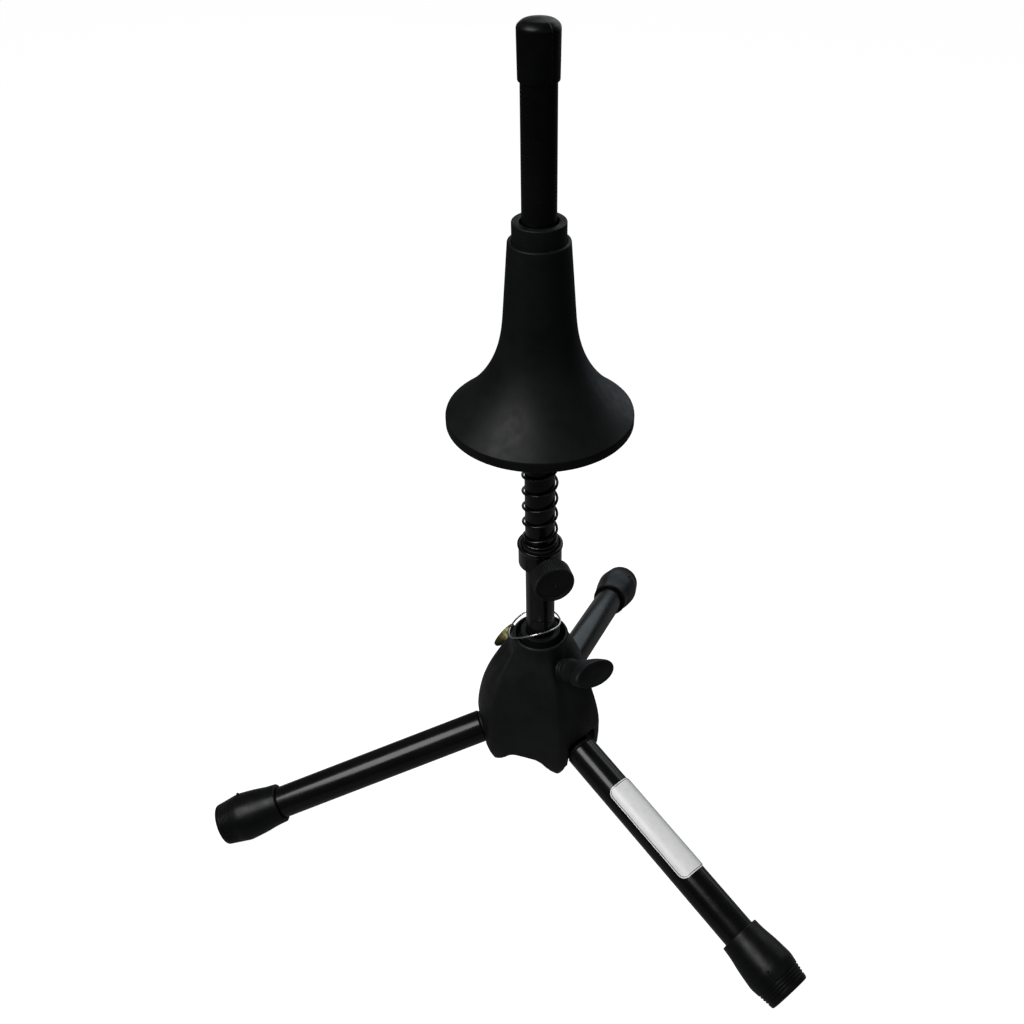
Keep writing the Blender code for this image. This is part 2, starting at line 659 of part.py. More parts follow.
def make_bell_support(stand, mat):
    rim_bottom = BELL_RIM_TOP - BELL_RIM_THICKNESS
    flare = [BELL_TAPER_END + (BELL_RIM_TOP - BELL_TAPER_END) * i / 8 for i in range(9)]
    edge = BELL_EDGE
    halfway = (BELL_TOP + BELL_TAPER_END) / 2
    bore = GUIDE_RADIUS + GAP
    outer = [(BELL_TOP_RADIUS - edge, BELL_TOP)]
    outer += [(bell_radius(z), z) for z in [BELL_TOP - edge, halfway] + flare]
    outer += [(BELL_RIM_RADIUS, rim_bottom + edge), (BELL_RIM_RADIUS - edge, rim_bottom)]
    inner = [(BELL_RIM_RADIUS - BELL_WALL, rim_bottom)]
    for height in reversed(flare[2:]):
        inner.append((max(bell_radius(height) - BELL_WALL, bore + BELL_STEP), height - BELL_WALL))
    inner += [(bore, flare[2]), (bore, BELL_TOP)]
    piece("bell_support", turned("bell_support", outer + inner, 40), mat, stand)


def make_guide_sleeve(stand, mat):
    edge = BELL_EDGE
    profile = [(GUIDE_BORE, GUIDE_BOTTOM), (GUIDE_RADIUS, GUIDE_BOTTOM), (GUIDE_RADIUS, GUIDE_TOP - edge),
               (GUIDE_RADIUS - edge, GUIDE_TOP), (GUIDE_BORE + edge, GUIDE_TOP),
               (GUIDE_BORE, GUIDE_TOP - edge)]
    piece("guide_sleeve", turned("guide_sleeve", profile), mat, stand)


def make_spring(stand, mat):
    """Compression spring with one close turn at each end."""
    wire = SPRING_WIRE / 2
    low = SEAT_TOP + GAP + wire
    high = GUIDE_BOTTOM - GAP - wire
    pitch = (high - low - 2 * SPRING_END_PITCH) / (SPRING_TURNS - 2)
    per_turn = 12
    rings = []
    for i in range(int(SPRING_TURNS * per_turn) + 1):
        turn = i / per_turn
        height = low + SPRING_END_PITCH * min(turn, 1.0)
        height += pitch * min(max(turn - 1, 0), SPRING_TURNS - 2)
        height += SPRING_END_PITCH * max(turn - SPRING_TURNS + 1, 0)
        out = radial(SPRING_START + 360 * turn)
        corners = [2 * math.pi * k / WIRE_SIDES for k in range(WIRE_SIDES)]
        centre = out * SPRING_RADIUS + Vector((0, 0, height))
        rings.append([tuple(centre + out * wire * math.cos(a) + Vector((0, 0, wire * math.sin(a))))
                      for a in corners])
    piece("spring", finish_mesh(loft(rings), "spring"), mat, stand)


# ---------------------------------------------------------------- post and legs

def make_post(stand, post_mat, cap_mat):
    profile = tube_profile(POST_RADIUS - POST_WALL, POST_RADIUS, POST_BOTTOM, POST_TOP)
    piece("post_tube", turned("post_tube", profile), post_mat, stand)
    inside = POST_RADIUS + GAP
    edge = CAP_RADIUS_LOW - inside - GAP
    drop = CAP_SHOULDER
    cap = [(inside, CAP_BOTTOM), (CAP_RADIUS_LOW - edge, CAP_BOTTOM), (CAP_RADIUS_LOW, CAP_BOTTOM + edge),
           (CAP_RADIUS_HIGH, CAP_TOP - drop), (CAP_RADIUS_HIGH - drop * 0.3, CAP_TOP - drop * 0.4),
           (CAP_RADIUS_HIGH - drop * 1.1, CAP_TOP - drop * 0.1), (0, CAP_TOP), (0, POST_TOP + GAP),
           (inside, POST_TOP + GAP)]
    piece("post_cap", turned("post_cap", cap), cap_mat, stand)


def make_leg_tube(mat):
    profile = tube_profile(LEG_RADIUS - LEG_WALL, LEG_RADIUS, TUBE_START, LEG_LENGTH - FOOT_END_WALL)
    mesh = turned("leg_tube", profile)
    mesh.transform(ALONG_X)
    mesh.materials.append(mat)
    return mesh


def make_end_plug(stand, mat):
    """Plug in the leg's inner end, with the lug that turns on the pivot pin and stops on the hub."""
    flange = LEG_RADIUS - LEG_WALL / 2
    inside = LEG_RADIUS - LEG_WALL - GAP
    root = PIN_RADIUS
    spigot = [(0, root), (LUG_HALF_WIDTH, root), (LUG_HALF_WIDTH, TUBE_START - PLUG_FLANGE - PLUG_TAPER),
              (flange, TUBE_START - PLUG_FLANGE), (flange, TUBE_START - GAP), (inside, TUBE_START - GAP),
              (inside, TUBE_START + PLUG_LENGTH), (0, TUBE_START + PLUG_LENGTH)]
    mesh = turned("end_plug", spigot, 24)
    mesh.transform(ALONG_X)
    mesh.materials.append(mat)
    plug = piece("end_plug", mesh, mat, stand)
    cheek = turned("lug", rod_profile(LUG_RADIUS, -LUG_HALF_WIDTH, LUG_HALF_WIDTH), 24)
    combine(plug, cheek, ALONG_Y, "UNION")
    pad_top = SLOT_CEILING - GAP - PIVOT_HEIGHT
    pad_half = LUG_HALF_WIDTH - PAD_INSET
    pad = box_mesh("stop_pad", (0.0, -pad_half, 0.0), (PAD_LENGTH, pad_half, pad_top))
    level = Matrix.Rotation(-LEG_SLOPE, 4, "Y")
    combine(plug, pad, level, "UNION")
    hole = turned("pin_bore", rod_profile(PIN_RADIUS + GAP, -CHEEK_OUTER, CHEEK_OUTER), 16)
    combine(plug, hole, ALONG_Y)
    smooth(plug)
    mesh = plug.data
    bpy.data.objects.remove(plug, do_unlink=True)
    return mesh


def foot_profile():
    """Rubber boot: a taper that swells to a bulge and draws in again to a flat end."""
    inside = LEG_RADIUS + GAP
    bottom = LEG_LENGTH - FOOT_END_WALL + GAP
    edge = FOOT_EDGE
    swell = FOOT_BULGE_RADIUS - FOOT_START_RADIUS
    rise = FOOT_BULGE - FOOT_START
    profile = [(inside, FOOT_START), (FOOT_START_RADIUS - edge, FOOT_START)]
    profile += [(FOOT_START_RADIUS + swell * out, FOOT_START + rise * along) for along, out in FOOT_SWELL]
    profile += [(FOOT_BULGE_RADIUS - edge, FOOT_BULGE + 0.35 * (LEG_LENGTH - FOOT_BULGE)),
                (FOOT_END_RADIUS + edge, LEG_LENGTH - 2 * edge), (FOOT_END_RADIUS, LEG_LENGTH),
                (0, LEG_LENGTH), (0, bottom), (inside, bottom)]
    return profile


def make_foot(stand, mat):
    """Foot with a small flat where it rests on the floor."""
    mesh = turned("foot", foot_profile())
    mesh.transform(ALONG_X)
    mesh.materials.append(mat)
    foot = piece("foot", mesh, mat, stand)
    wide = 2 * FOOT_BULGE_RADIUS
    low = (FOOT_START, -wide, -PIVOT_HEIGHT - wide)
    floor = box_mesh("floor", low, (LEG_LENGTH + wide, wide, -PIVOT_HEIGHT))
    combine(foot, floor, Matrix.Rotation(-LEG_SLOPE, 4, "Y"))
    smooth(foot)
    mesh = foot.data
    bpy.data.objects.remove(foot, do_unlink=True)
    return mesh


def make_label(parent, mat):
    """Curved sticker along the leg's upper side."""
    inner = LEG_RADIUS + GAP
    outer = inner + LABEL_THICKNESS
    steps = 8
    angles = [math.radians(LABEL_ROLL - LABEL_HALF_ANGLE + 2 * LABEL_HALF_ANGLE * i / steps)
              for i in range(steps + 1)]
    rings = []
    for x in (LABEL_START, LABEL_END):
        ring = [(x, outer * math.sin(a), outer * math.cos(a)) for a in angles]
        ring += [(x, inner * math.sin(a), inner * math.cos(a)) for a in reversed(angles)]
        rings.append(ring)
    piece("label", finish_mesh(loft(rings), "label"), mat, parent)


def make_legs(stand, tube_mat, plug_mat, foot_mat, label_mat):
    tube = make_leg_tube(tube_mat)
    plug = make_end_plug(stand, plug_mat)
    foot = make_foot(stand, foot_mat)
    for side, azimuth in LEG_AZIMUTHS.items():
        pivot = empty(f"leg_{side}_axis", leg_matrix(azimuth), stand)
        piece(f"leg_tube_{side}", tube, tube_mat, pivot)
        piece(f"end_plug_{side}", plug, plug_mat, pivot)
        piece(f"foot_{side}", foot, foot_mat, pivot)
        if side == "right":
            make_label(pivot, label_mat)


def main():
    clear_scene()
    painted = material("painted_steel", (0.012, 0.012, 0.013), 0.32, 0.3)
    plastic = material("hub_plastic", (0.030, 0.032, 0.034), 0.55)
    bell = material("bell_plastic", (0.024, 0.026, 0.027), 0.50)
    rubber = material("rubber", (0.014, 0.014, 0.015), 0.62)
    steel = material("bright_steel", (0.55, 0.55, 0.56), 0.30, 1.0)
    brass = material("dull_brass", (0.30, 0.26, 0.14), 0.45, 1.0)
    wire = material("spring_wire", (0.015, 0.015, 0.016), 0.30, 0.6)
    paper = material("label_paper", (0.80, 0.80, 0.80), 0.40)

    stand = empty("stand_axis", Matrix.Translation((0, POST_Y, 0)))
    make_hub(stand, plastic)
    make_socket_sleeve(stand, plastic)
    make_clamp_nut("clamp_nut_front", FRONT_SCREW, stand, brass)
    make_clamp_nut("clamp_nut_rear", REAR_SCREW, stand, brass)
    for side in LEG_AZIMUTHS:
        make_pivot_pin(side, stand, steel)
    make_tag_loop(stand, steel)
    make_wing_screw("front_wing", FRONT_SCREW, stand, plastic, steel)
    make_wing_screw("rear_wing", REAR_SCREW, stand, brass, steel)
    make_legs(stand, painted, plastic, rubber, paper)
    make_post(stand, painted, rubber)
    make_collar(stand, painted, plastic)
    make_thumbscrew(stand, plastic, steel)
    make_bell_support(stand, bell)
    make_guide_sleeve(stand, bell)
    make_spring(stand, wire)


main()
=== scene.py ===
"""Finished look of a folding trumpet stand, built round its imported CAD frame.

Metres, in the CAD model's frame, +Z up.  Pieces that go round the post are turned about its axis,
screws are built in a frame that runs out along them, and a leg's pieces in a frame on its pivot
with X along the open leg.
"""
import json
import math

import bmesh
import bpy
from mathutils import Matrix, Vector


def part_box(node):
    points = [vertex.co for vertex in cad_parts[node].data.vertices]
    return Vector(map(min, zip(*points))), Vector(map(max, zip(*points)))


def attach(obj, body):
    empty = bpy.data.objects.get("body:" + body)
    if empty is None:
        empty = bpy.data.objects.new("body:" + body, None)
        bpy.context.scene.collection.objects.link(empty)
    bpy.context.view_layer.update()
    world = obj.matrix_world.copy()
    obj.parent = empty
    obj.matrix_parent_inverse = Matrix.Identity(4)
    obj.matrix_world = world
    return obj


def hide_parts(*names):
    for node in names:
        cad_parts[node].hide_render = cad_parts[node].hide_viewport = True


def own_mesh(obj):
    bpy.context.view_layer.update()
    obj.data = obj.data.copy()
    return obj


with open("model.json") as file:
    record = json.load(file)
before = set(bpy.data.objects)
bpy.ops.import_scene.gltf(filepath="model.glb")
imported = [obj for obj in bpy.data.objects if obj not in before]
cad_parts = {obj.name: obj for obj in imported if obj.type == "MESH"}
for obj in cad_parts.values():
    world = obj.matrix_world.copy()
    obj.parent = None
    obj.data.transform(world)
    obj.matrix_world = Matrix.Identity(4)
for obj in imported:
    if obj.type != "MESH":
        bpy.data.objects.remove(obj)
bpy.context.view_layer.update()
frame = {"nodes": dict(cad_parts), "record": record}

JOINTS = {joint["name"]: joint for joint in frame["record"]["behaviour"]["joints"]}
GAP = 0.0003  # gap between pieces that touch
FINE = 128  # facets round a turned piece
SHARP_ANGLE = 32  # degrees from which an edge is sharp, then on the collar and the wing knobs
BLUNT_ANGLE = 40
ON_AXIS = 1e-7  # a smaller radius is on the axis
FILLET_SHARE = 0.48  # the most of an edge that one fillet takes up

# Camera and lights, from the post's axis.
CAMERA_FROM_POST = Vector((0.1517, -0.4593, 0.5841))
CAMERA_TURN = math.radians(20.025)
CAMERA_PITCH = math.radians(36.973)  # below level
CAMERA_ROLL = math.radians(-1.2055)
CAMERA_LENS = 40.388
LIGHTS_AIM = Vector((0, 0, 0.15))
LIGHTS = (  # name, place from the post's axis, size, power, colour
    ("key", (-0.55, -0.75, 1.45), (1.0, 0.8), 19.0),
    ("fill", (1.3, -0.9, 0.9), (1.8, 1.2), 1.2),
    ("back", (0.3, 1.3, 1.1), (1.4, 0.6), 4.0),
    ("horizon", (0.1, 1.6, 0.42), (2.2, 0.5), 3.6, (0.78, 0.92, 1.0)),
)

# Hub.
LEG_AZIMUTHS = {"left": 210.0, "right": 330.0, "back": 90.0}
PIVOT_RADIUS = 0.0240
PIVOT_HEIGHT = 0.0680
PIN_RADIUS = 0.0025
PIN_SHORT = 0.0002  # its ends stay this far inside the cheeks
PIN_DOME = 0.0009
HUB_WAIST = 0.0750
HUB_WAIST_RADIUS = 0.0376
HUB_DROP = 0.0255
HUB_CURVE = 1.8
HUB_SKIRT_DRAW = 0.0034
NECK_RADIUS = 0.0156
NECK_TAPER = 0.15
NECK_BLEND = 0.0015
HUB_EDGE = 0.0010
NOSE_DIP = 0.0026  # flattening of each hood over its leg
NOSE_LOW = 0.0880  # it starts at this height, grows over the next,
NOSE_RISE = 0.0300
NOSE_TOP = 0.1300  # and is gone again here
NOSE_FALL = 0.0080
NOSE_WIDTH = 18.0  # degrees over which it grows from the ridge
HUB_TIP = 0.0500  # lowest points, beside each leg slot
HUB_ARCH = 0.0585  # lower edge in the middle of each panel
HUB_FLOOR = 0.0540
ARCH_HALF_ANGLE = 13.0  # degrees from a panel's middle to the end of its level edge
TIP_END = 37.0  # degrees to where the edge turns up
TIP_ROUND = 5.0
TIP_LIFT = 0.0080
PANEL_HALF_ANGLE = 34.5  # degrees to its ridge
PANEL_SAG = 0.0010
PANEL_FADE = 0.0517
HUB_WALL = 0.0030
MOUTH_RADIUS = 0.0141
MOUTH_DEPTH = 0.0075
SOCKET_RADIUS = 0.0119
SLOT_HALF_WIDTH = 0.0102
SLOT_CEILING = 0.0773
SLOT_CORNER = 0.0040
SLOT_INNER = 0.0137
SLOT_OUTER = 0.0450
SLOT_BELOW = 0.0300
CHEEK_OUTER = 0.0127
CHEEK_WALL = 0.0012
POCKET_LEVELS = (0.0400, 0.0620, 0.0750, 0.0920, 0.1080)
POCKET_WIDTH = 0.86  # share of a panel's width
POCKET_DRAFT = 0.96  # narrower by this at its outer face
DRAIN_RADIUS = 0.0065  # hole in the floor
DRAIN_BELOW = 0.0400
MOUTH_EDGE = 0.0010
MOUTH_ABOVE = 0.0020
PIN_HOLE_HALF = 0.0160
SLEEVE_BORE = 0.0083
HUB_COLUMNS = 144
HUB_ROWS = 48
HUB_VOXEL = 0.00055
PLUG_VOXEL = 0.00045
RELAX_PASSES = 3  # rounds of smoothing after a remesh
SCULPT_KEEP = 0.4  # share of its triangles that is kept

# Screws, measured out along each one from the post's axis.
STUD_RADIUS = 0.0029
STUD_HOLE = 0.0035
STUD_PITCH = 0.0010
STUD_TIP = 0.5  # shares of its radius at its cone's ends
STUD_CONE = 0.88
STUD_CONE_LENGTH = 0.0012
STUD_POINT = 0.0015  # where the thread starts
THREAD_STEPS = 8  # sections in one turn of the thread
THREAD_DEPTH = 0.0005
HOLE_START = 0.0040
HOLE_PAST = 0.0040  # the collar's ends this far past the knob's back
HUB_HOLE_START = 0.0060
HUB_HOLE_END = 0.0340
SLEEVE_HOLE_END = 0.0200
NUT_START = 0.0170
NUT_RADIUS = 0.0048
BOSS_RADIUS = 0.0060
BOSS_ROOT = 0.0006  # where bosses start in the wall
FRONT_WING = {"joint": "front_wing_turn", "surface": 0.0275, "length": 0.0255, "half_span": 0.0136,
              "half_thick": 0.0070, "base_radius": 0.0071, "neck_radius": 0.0064, "flare": 0.36,
              "roll": math.radians(-8.0), "notch": 0.0010, "ribs": 24}
REAR_WING = {"joint": "rear_wing_turn", "surface": 0.0268, "length": 0.0072, "half_span": 0.0086,
             "half_thick": 0.0044, "base_radius": 0.0046, "neck_radius": 0.0042, "flare": 0.20,
             "roll": math.radians(-48.0), "notch": 0.0012, "ribs": 18}
WINGS = (FRONT_WING, REAR_WING)
WING_SEGMENTS = 144
WING_GAP = 0.0008  # between a boss and its knob
WING_HOLE = 0.6  # shares of its length: blind hole, base's edge, ring, step to the neck,
WING_BASE = 0.02
WING_RING = 0.12
WING_STEP = 0.06
WING_BAR = 0.78  # start of the bar's edge, and of the rounded rim
WING_SHOULDER = 0.92
WING_RIB_DEPTH = 0.07  # shares of its radius: ribs, base, rounding of the rim,
WING_BASE_INSET = 0.94
WING_RIM_INSET = 0.10
WING_FACE = (0.82, 0.72, 0.58, 0.42, 0.26, 0.10)  # rings of the end face, and its dish
WING_DISH_EDGE = 0.90
WING_DISH_WIDTH = 0.5

# Collar and thumbscrew.
COLLAR_RADIUS = 0.01175
COLLAR_RIM_RADIUS = 0.0124
COLLAR_RIM_HEIGHT = 0.0016
COLLAR_RIM_STEP = 0.0007
COLLAR_BORE = 0.0103
COLLAR_LIP = 0.0094
COLLAR_FLOOR = 0.0015  # thickness of the lip under the seat ring
COLLAR_BOSS_RADIUS = 0.0043
THUMB_RADIUS = 0.0111
THUMB_BACK = 0.0172
THUMB_FACE = 0.0266
THUMB_HOLE = 0.0065
THUMB_RIM = 0.0017  # rim round its dished face, then with the dish's slope
THUMB_RIM_END = 0.0024
THUMB_DISH = 0.0008
THUMB_CROWN = 0.0002  # rise of the dish's middle
THUMB_PIT = 0.0012  # radius of the pit there, of its floor, and its depth
THUMB_PIT_FLOOR = 0.0009
THUMB_PIT_DEPTH = 0.0003
THUMB_GAP = 0.0006  # from the collar's boss to the knob
THUMB_KNURLED = 0.97  # knurled from this share of its radius
THUMB_RIBS = 52
THUMB_RIB_STEPS = 8
THUMB_RIB_DEPTH = 0.0005
THUMB_RIB_CURVE = 0.7

# Bell support and spring.
BELL_TAPER_END = 0.3370
BELL_TOP_RADIUS = 0.0146
BELL_TAPER_RADIUS = 0.0172
BELL_RIM_THICKNESS = 0.0052
BELL_FLARE = 2.6
BELL_RIM_ROUND = 0.0006
BELL_WALL = 0.0026
BELL_STEP = 0.0020  # step under the guide sleeve's seat
BELL_STEP_RISE = 0.0040
FLARE_END = 0.0002  # above the rim
FLARE_ROWS = 56
TAPER_ROWS = 4
TAPER_ROW = 0.0070
GUIDE_BORE = 0.0090
SPRING_RADIUS = 0.0090
SPRING_WIRE = 0.0014
SPRING_TURNS = 11.0
SPRING_END_PITCH = 0.0018
SPRING_START = 164.0  # azimuth of the wire's lower end
SPRING_STEPS = 48  # sections of wire in a turn
WIRE_SIDES = 12

# Post's cap.
CAP_DRAFT = 0.0003  # narrower by this at its foot, and by half of it at its middle
CAP_MIDDLE = 0.0100
CAP_SHOULDER = 0.0030  # from its top
CAP_CROWN = 0.0008
CAP_CROWN_INSET = 0.0024
SEAM_AZIMUTH = 323.0  # degrees, of its mould line
SEAM_WIDTH = 1.6
SEAM_RISE = 0.00022

# Legs: stations along the leg from its pivot.
LEG_SLOPE = math.radians(18.1)
LEG_RADIUS = 0.0095
TUBE_WALL = 0.0012  # of the legs and the post
TUBE_START = 0.0123
FOOT_START = 0.1448
FOOT_BULGE = 0.1690
LEG_LENGTH = 0.1833
FOOT_START_RADIUS = 0.01175
FOOT_BULGE_RADIUS = 0.0145
FOOT_END_RADIUS = 0.01225
FOOT_END_WALL = 0.0036
FOOT_SWELL = ((0.006, 0.0004, 0.003), (0.014, 0.0018, 0.004))  # past its start, out, fillet
FOOT_RECESS_RIM = 0.62  # shares of its end's radius: the recess's rim and floor
FOOT_RECESS = 0.56
FOOT_RECESS_DEPTH = 0.0005
GROOVES = 4  # rings round the foot's end
GROOVE_START = 0.0052  # from the bulge
GROOVE_PITCH = 0.0017
GROOVE_STEP = 0.00035
GROOVE_DEPTH = 0.00045
NUB_TURN = 35.0  # degrees round the foot from its top
NUB_BACK = 0.0010  # behind the bulge
NUB_SIZE = 0.0008  # its radius, and half its height
NUB_DRAFT = 0.0001

# Sticker on the right leg, and the wire loop.
LABEL_START = 0.0425
LABEL_END = 0.1065
LABEL_HALF_ANGLE = math.radians(58.0)
LABEL_ROLL = math.radians(3.0)
LABEL_THICKNESS = 0.0003
LABEL_CORNER = 0.0045
LABEL_MIDDLE = (LABEL_START + LABEL_END) / 2
LABEL_HALF_LENGTH = (LABEL_END - LABEL_START) / 2
LABEL_HALF_WIDTH = LABEL_HALF_ANGLE * LEG_RADIUS
LABEL_SHADE_LINE = (0.0006, 0.0010)  # a thin darker line runs round it, this far inside its edge: painted shade along the sticker's edge
LABEL_ROWS = 14
LABEL_CORNER_STEPS = 8
LABEL_SIDE_STEPS = 16
LOOP_WIRE = 0.0005
LOOP_RADIUS = 0.0147
LOOP_CENTRE = (-0.0036, 0.0003)
LOOP_HEIGHT = 0.1386
LOOP_TILT = 0.0055
LOOP_TILT_AZIMUTH = 342.6
LOOP_BEND = 0.0020
LOOP_BEND_AZIMUTH = 20.0
LOOP_STEPS = 160

# Studio.
FLOOR_HALF = 4.0
FLOOR_DROP = 0.0002
FLOOR_FADE = (0.22, 0.46)  # distances over which its light fades


def span(node):
    """Lowest and highest z of a CAD node."""
    low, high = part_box(node)
    return low.z, high.z


def post_axis():
    low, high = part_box("post_tube")
    middle = (low + high) / 2
    return Vector((middle.x, middle.y, 0))


def outer_radius(node):
    """Radius of a CAD node that is turned about the post's axis."""
    low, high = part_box(node)
    return (high.x - low.x) / 2


POST = post_axis()
ON_POST = Matrix.Translation(POST)
HUB_TOP = span("hub_housing")[1]


# ------ materials

MATERIALS = {}


def node_material(name):
    """New material, kept under its name."""
    mat = bpy.data.materials.new(name)
    mat.use_nodes = True
    MATERIALS[name] = mat
    return mat.node_tree, mat.node_tree.nodes["Principled BSDF"]


def add_noise(tree, scale, detail=3.0, stretch=None):
    """Noise over the piece's own coordinates; stretch scales it along each axis."""
    coords = tree.nodes.new("ShaderNodeTexCoord")
    vector = coords.outputs["Object"]
    if stretch is not None:
        mapping = tree.nodes.new("ShaderNodeMapping")
        mapping.inputs["Scale"].default_value = stretch
        tree.links.new(vector, mapping.inputs["Vector"])
        vector = mapping.outputs["Vector"]
    noise = tree.nodes.new("ShaderNodeTexNoise")
    noise.inputs["Scale"].default_value = scale
    noise.inputs["Detail"].default_value = detail
    tree.links.new(vector, noise.inputs["Vector"])
    return noise.outputs["Fac"]


def map_range(tree, value, low, high, from_low=0.3, from_high=0.7):
    node = tree.nodes.new("ShaderNodeMapRange")
    node.inputs["From Min"].default_value = from_low
    node.inputs["From Max"].default_value = from_high
    node.inputs["To Min"].default_value = low
    node.inputs["To Max"].default_value = high
    tree.links.new(value, node.inputs["Value"])
    return node.outputs["Result"]


def mix_colors(tree, factor, first, second):
    """Mix two colours; either one may be a colour or a socket."""
    node = tree.nodes.new("ShaderNodeMix")
    node.data_type = "RGBA"
    for name, color in (("A", first), ("B", second)):
        socket = [s for s in node.inputs if s.name == name and s.type == "RGBA"][0]
        if isinstance(color, bpy.types.NodeSocket):
            tree.links.new(color, socket)
        else:
            socket.default_value = (*color, 1.0)
    tree.links.new(factor, node.inputs[0])
    return [s for s in node.outputs if s.type == "RGBA"][0]


def cloudy(tree, scale, dark, light, detail=3.0):
    """Colour that drifts between two others over the piece."""
    return mix_colors(tree, map_range(tree, add_noise(tree, scale, detail), 0.0, 1.0), dark, light)


def add_bump(tree, shader, height, distance, strength=1.0, below=None):
    bump = tree.nodes.new("ShaderNodeBump")
    bump.inputs["Distance"].default_value = distance
    bump.inputs["Strength"].default_value = strength
    tree.links.new(height, bump.inputs["Height"])
    if below is not None:
        tree.links.new(below, bump.inputs["Normal"])
    tree.links.new(bump.outputs["Normal"], shader.inputs["Normal"])
    return bump.outputs["Normal"]


def moulded(name, dark, light, roughness, grain, grain_depth, wear_and_highlight):
    """Moulded plastic or rubber: fine grain, cloudy gloss, and edges painted a little paler, partly as
    rubbed wear and partly as a painted highlight along them.
    """
    tree, shader = node_material(name)
    color = cloudy(tree, 60.0, dark, light)
    # paler colour on sharp edges: partly rubbed wear, partly a painted highlight along the rims
    pointiness = tree.nodes.new("ShaderNodeNewGeometry").outputs["Pointiness"]
    edge_wear_and_highlight = map_range(tree, pointiness, 0.0, 0.35, 0.52, 0.60)
    tree.links.new(mix_colors(tree, edge_wear_and_highlight, color, wear_and_highlight), shader.inputs["Base Color"])
    gloss = add_noise(tree, 170.0, 4.0)
    tree.links.new(map_range(tree, gloss, *roughness), shader.inputs["Roughness"])
    shader.inputs["Specular IOR Level"].default_value = 0.18
    waves = add_bump(tree, shader, add_noise(tree, 90.0, 2.0), 0.00012, 0.5)
    add_bump(tree, shader, add_noise(tree, grain, 2.0), grain_depth, 1.0, waves)


def painted_steel():
    """Black stove paint on tube: orange peel, faint rub marks along the tube, specks of dust."""
    tree, shader = node_material("painted_steel")
    color = cloudy(tree, 40.0, (0.0013, 0.0014, 0.0015), (0.0032, 0.0034, 0.0036))
    dust = map_range(tree, add_noise(tree, 1500.0, 2.0), 0.0, 0.10, 0.66, 0.74)
    tree.links.new(mix_colors(tree, dust, color, (0.10, 0.10, 0.10)), shader.inputs["Base Color"])
    rubbed = add_noise(tree, 130.0, 4.0, (1.0, 1.0, 0.25))
    tree.links.new(map_range(tree, rubbed, 0.20, 0.28), shader.inputs["Roughness"])
    shader.inputs["Specular IOR Level"].default_value = 0.20
    shader.inputs["Coat Weight"].default_value = 0.20
    shader.inputs["Coat Roughness"].default_value = 0.13
    peel = add_bump(tree, shader, add_noise(tree, 420.0, 1.0), 0.00003, 0.4)
    add_bump(tree, shader, add_noise(tree, 2600.0, 2.0), 0.00001, 0.5, peel)


def metal(name, dark, light, roughness, scratch=(1.0, 1.0, 0.15), stain=None, stained=0.0):
    """Bare metal with fine scratches and a cloudy tarnish."""
    tree, shader = node_material(name)
    shader.inputs["Metallic"].default_value = 1.0
    color = cloudy(tree, 220.0, dark, light, 4.0)
    if stain is not None:
        spots = map_range(tree, add_noise(tree, 520.0, 5.0), 0.0, stained, 0.50, 0.66)
        color = mix_colors(tree, spots, color, stain)
    tree.links.new(color, shader.inputs["Base Color"])
    lines = add_noise(tree, 900.0, 4.0, scratch)
    tree.links.new(map_range(tree, lines, *roughness), shader.inputs["Roughness"])
    add_bump(tree, shader, lines, 0.00003, 0.5)


def label_material(name, dark, light, roughness, metallic):
    """Printed film on the leg: faint mottling, small scuffs and an uneven gloss."""
    tree, shader = node_material(name)
    shader.inputs["Metallic"].default_value = metallic
    cloud = add_noise(tree, 240.0, 4.0)
    color = mix_colors(tree, map_range(tree, cloud, 0.0, 1.0), dark, light)
    scuffs = map_range(tree, add_noise(tree, 380.0, 6.0, (0.3, 1.0, 1.0)), 0.0, 0.22, 0.62, 0.74)
    tree.links.new(mix_colors(tree, scuffs, color, (0.55, 0.55, 0.56)), shader.inputs["Base Color"])
    tree.links.new(map_range(tree, cloud, *roughness), shader.inputs["Roughness"])
    add_bump(tree, shader, add_noise(tree, 700.0, 2.0), 0.00003, 0.4)


def seen_and_cast(tree, seen, cast):
    """A strength that is one value to the eye and another as light on the object."""
    path = tree.nodes.new("ShaderNodeLightPath")
    return map_range(tree, path.outputs["Is Camera Ray"], cast, seen, 0.0, 1.0)


def floor_material():
    """Paper that photographs white, and gives back light mostly from close round the stand."""
    tree, shader = node_material("studio_floor")
    coords = tree.nodes.new("ShaderNodeTexCoord")
    distance = tree.nodes.new("ShaderNodeVectorMath")
    distance.operation = "LENGTH"
    tree.links.new(coords.outputs["Object"], distance.inputs[0])
    near = map_range(tree, distance.outputs["Value"], 1.0, 0.0, *FLOOR_FADE)
    color = mix_colors(tree, near, (0.06, 0.06, 0.06), (0.26, 0.26, 0.26))
    tree.links.new(color, shader.inputs["Base Color"])
    shader.inputs["Roughness"].default_value = 0.85
    shader.inputs["Specular IOR Level"].default_value = 0.1
    shader.inputs["Emission Color"].default_value = (1.0, 1.0, 1.0, 1.0)
    tree.links.new(seen_and_cast(tree, 0.98, 0.0), shader.inputs["Emission Strength"])


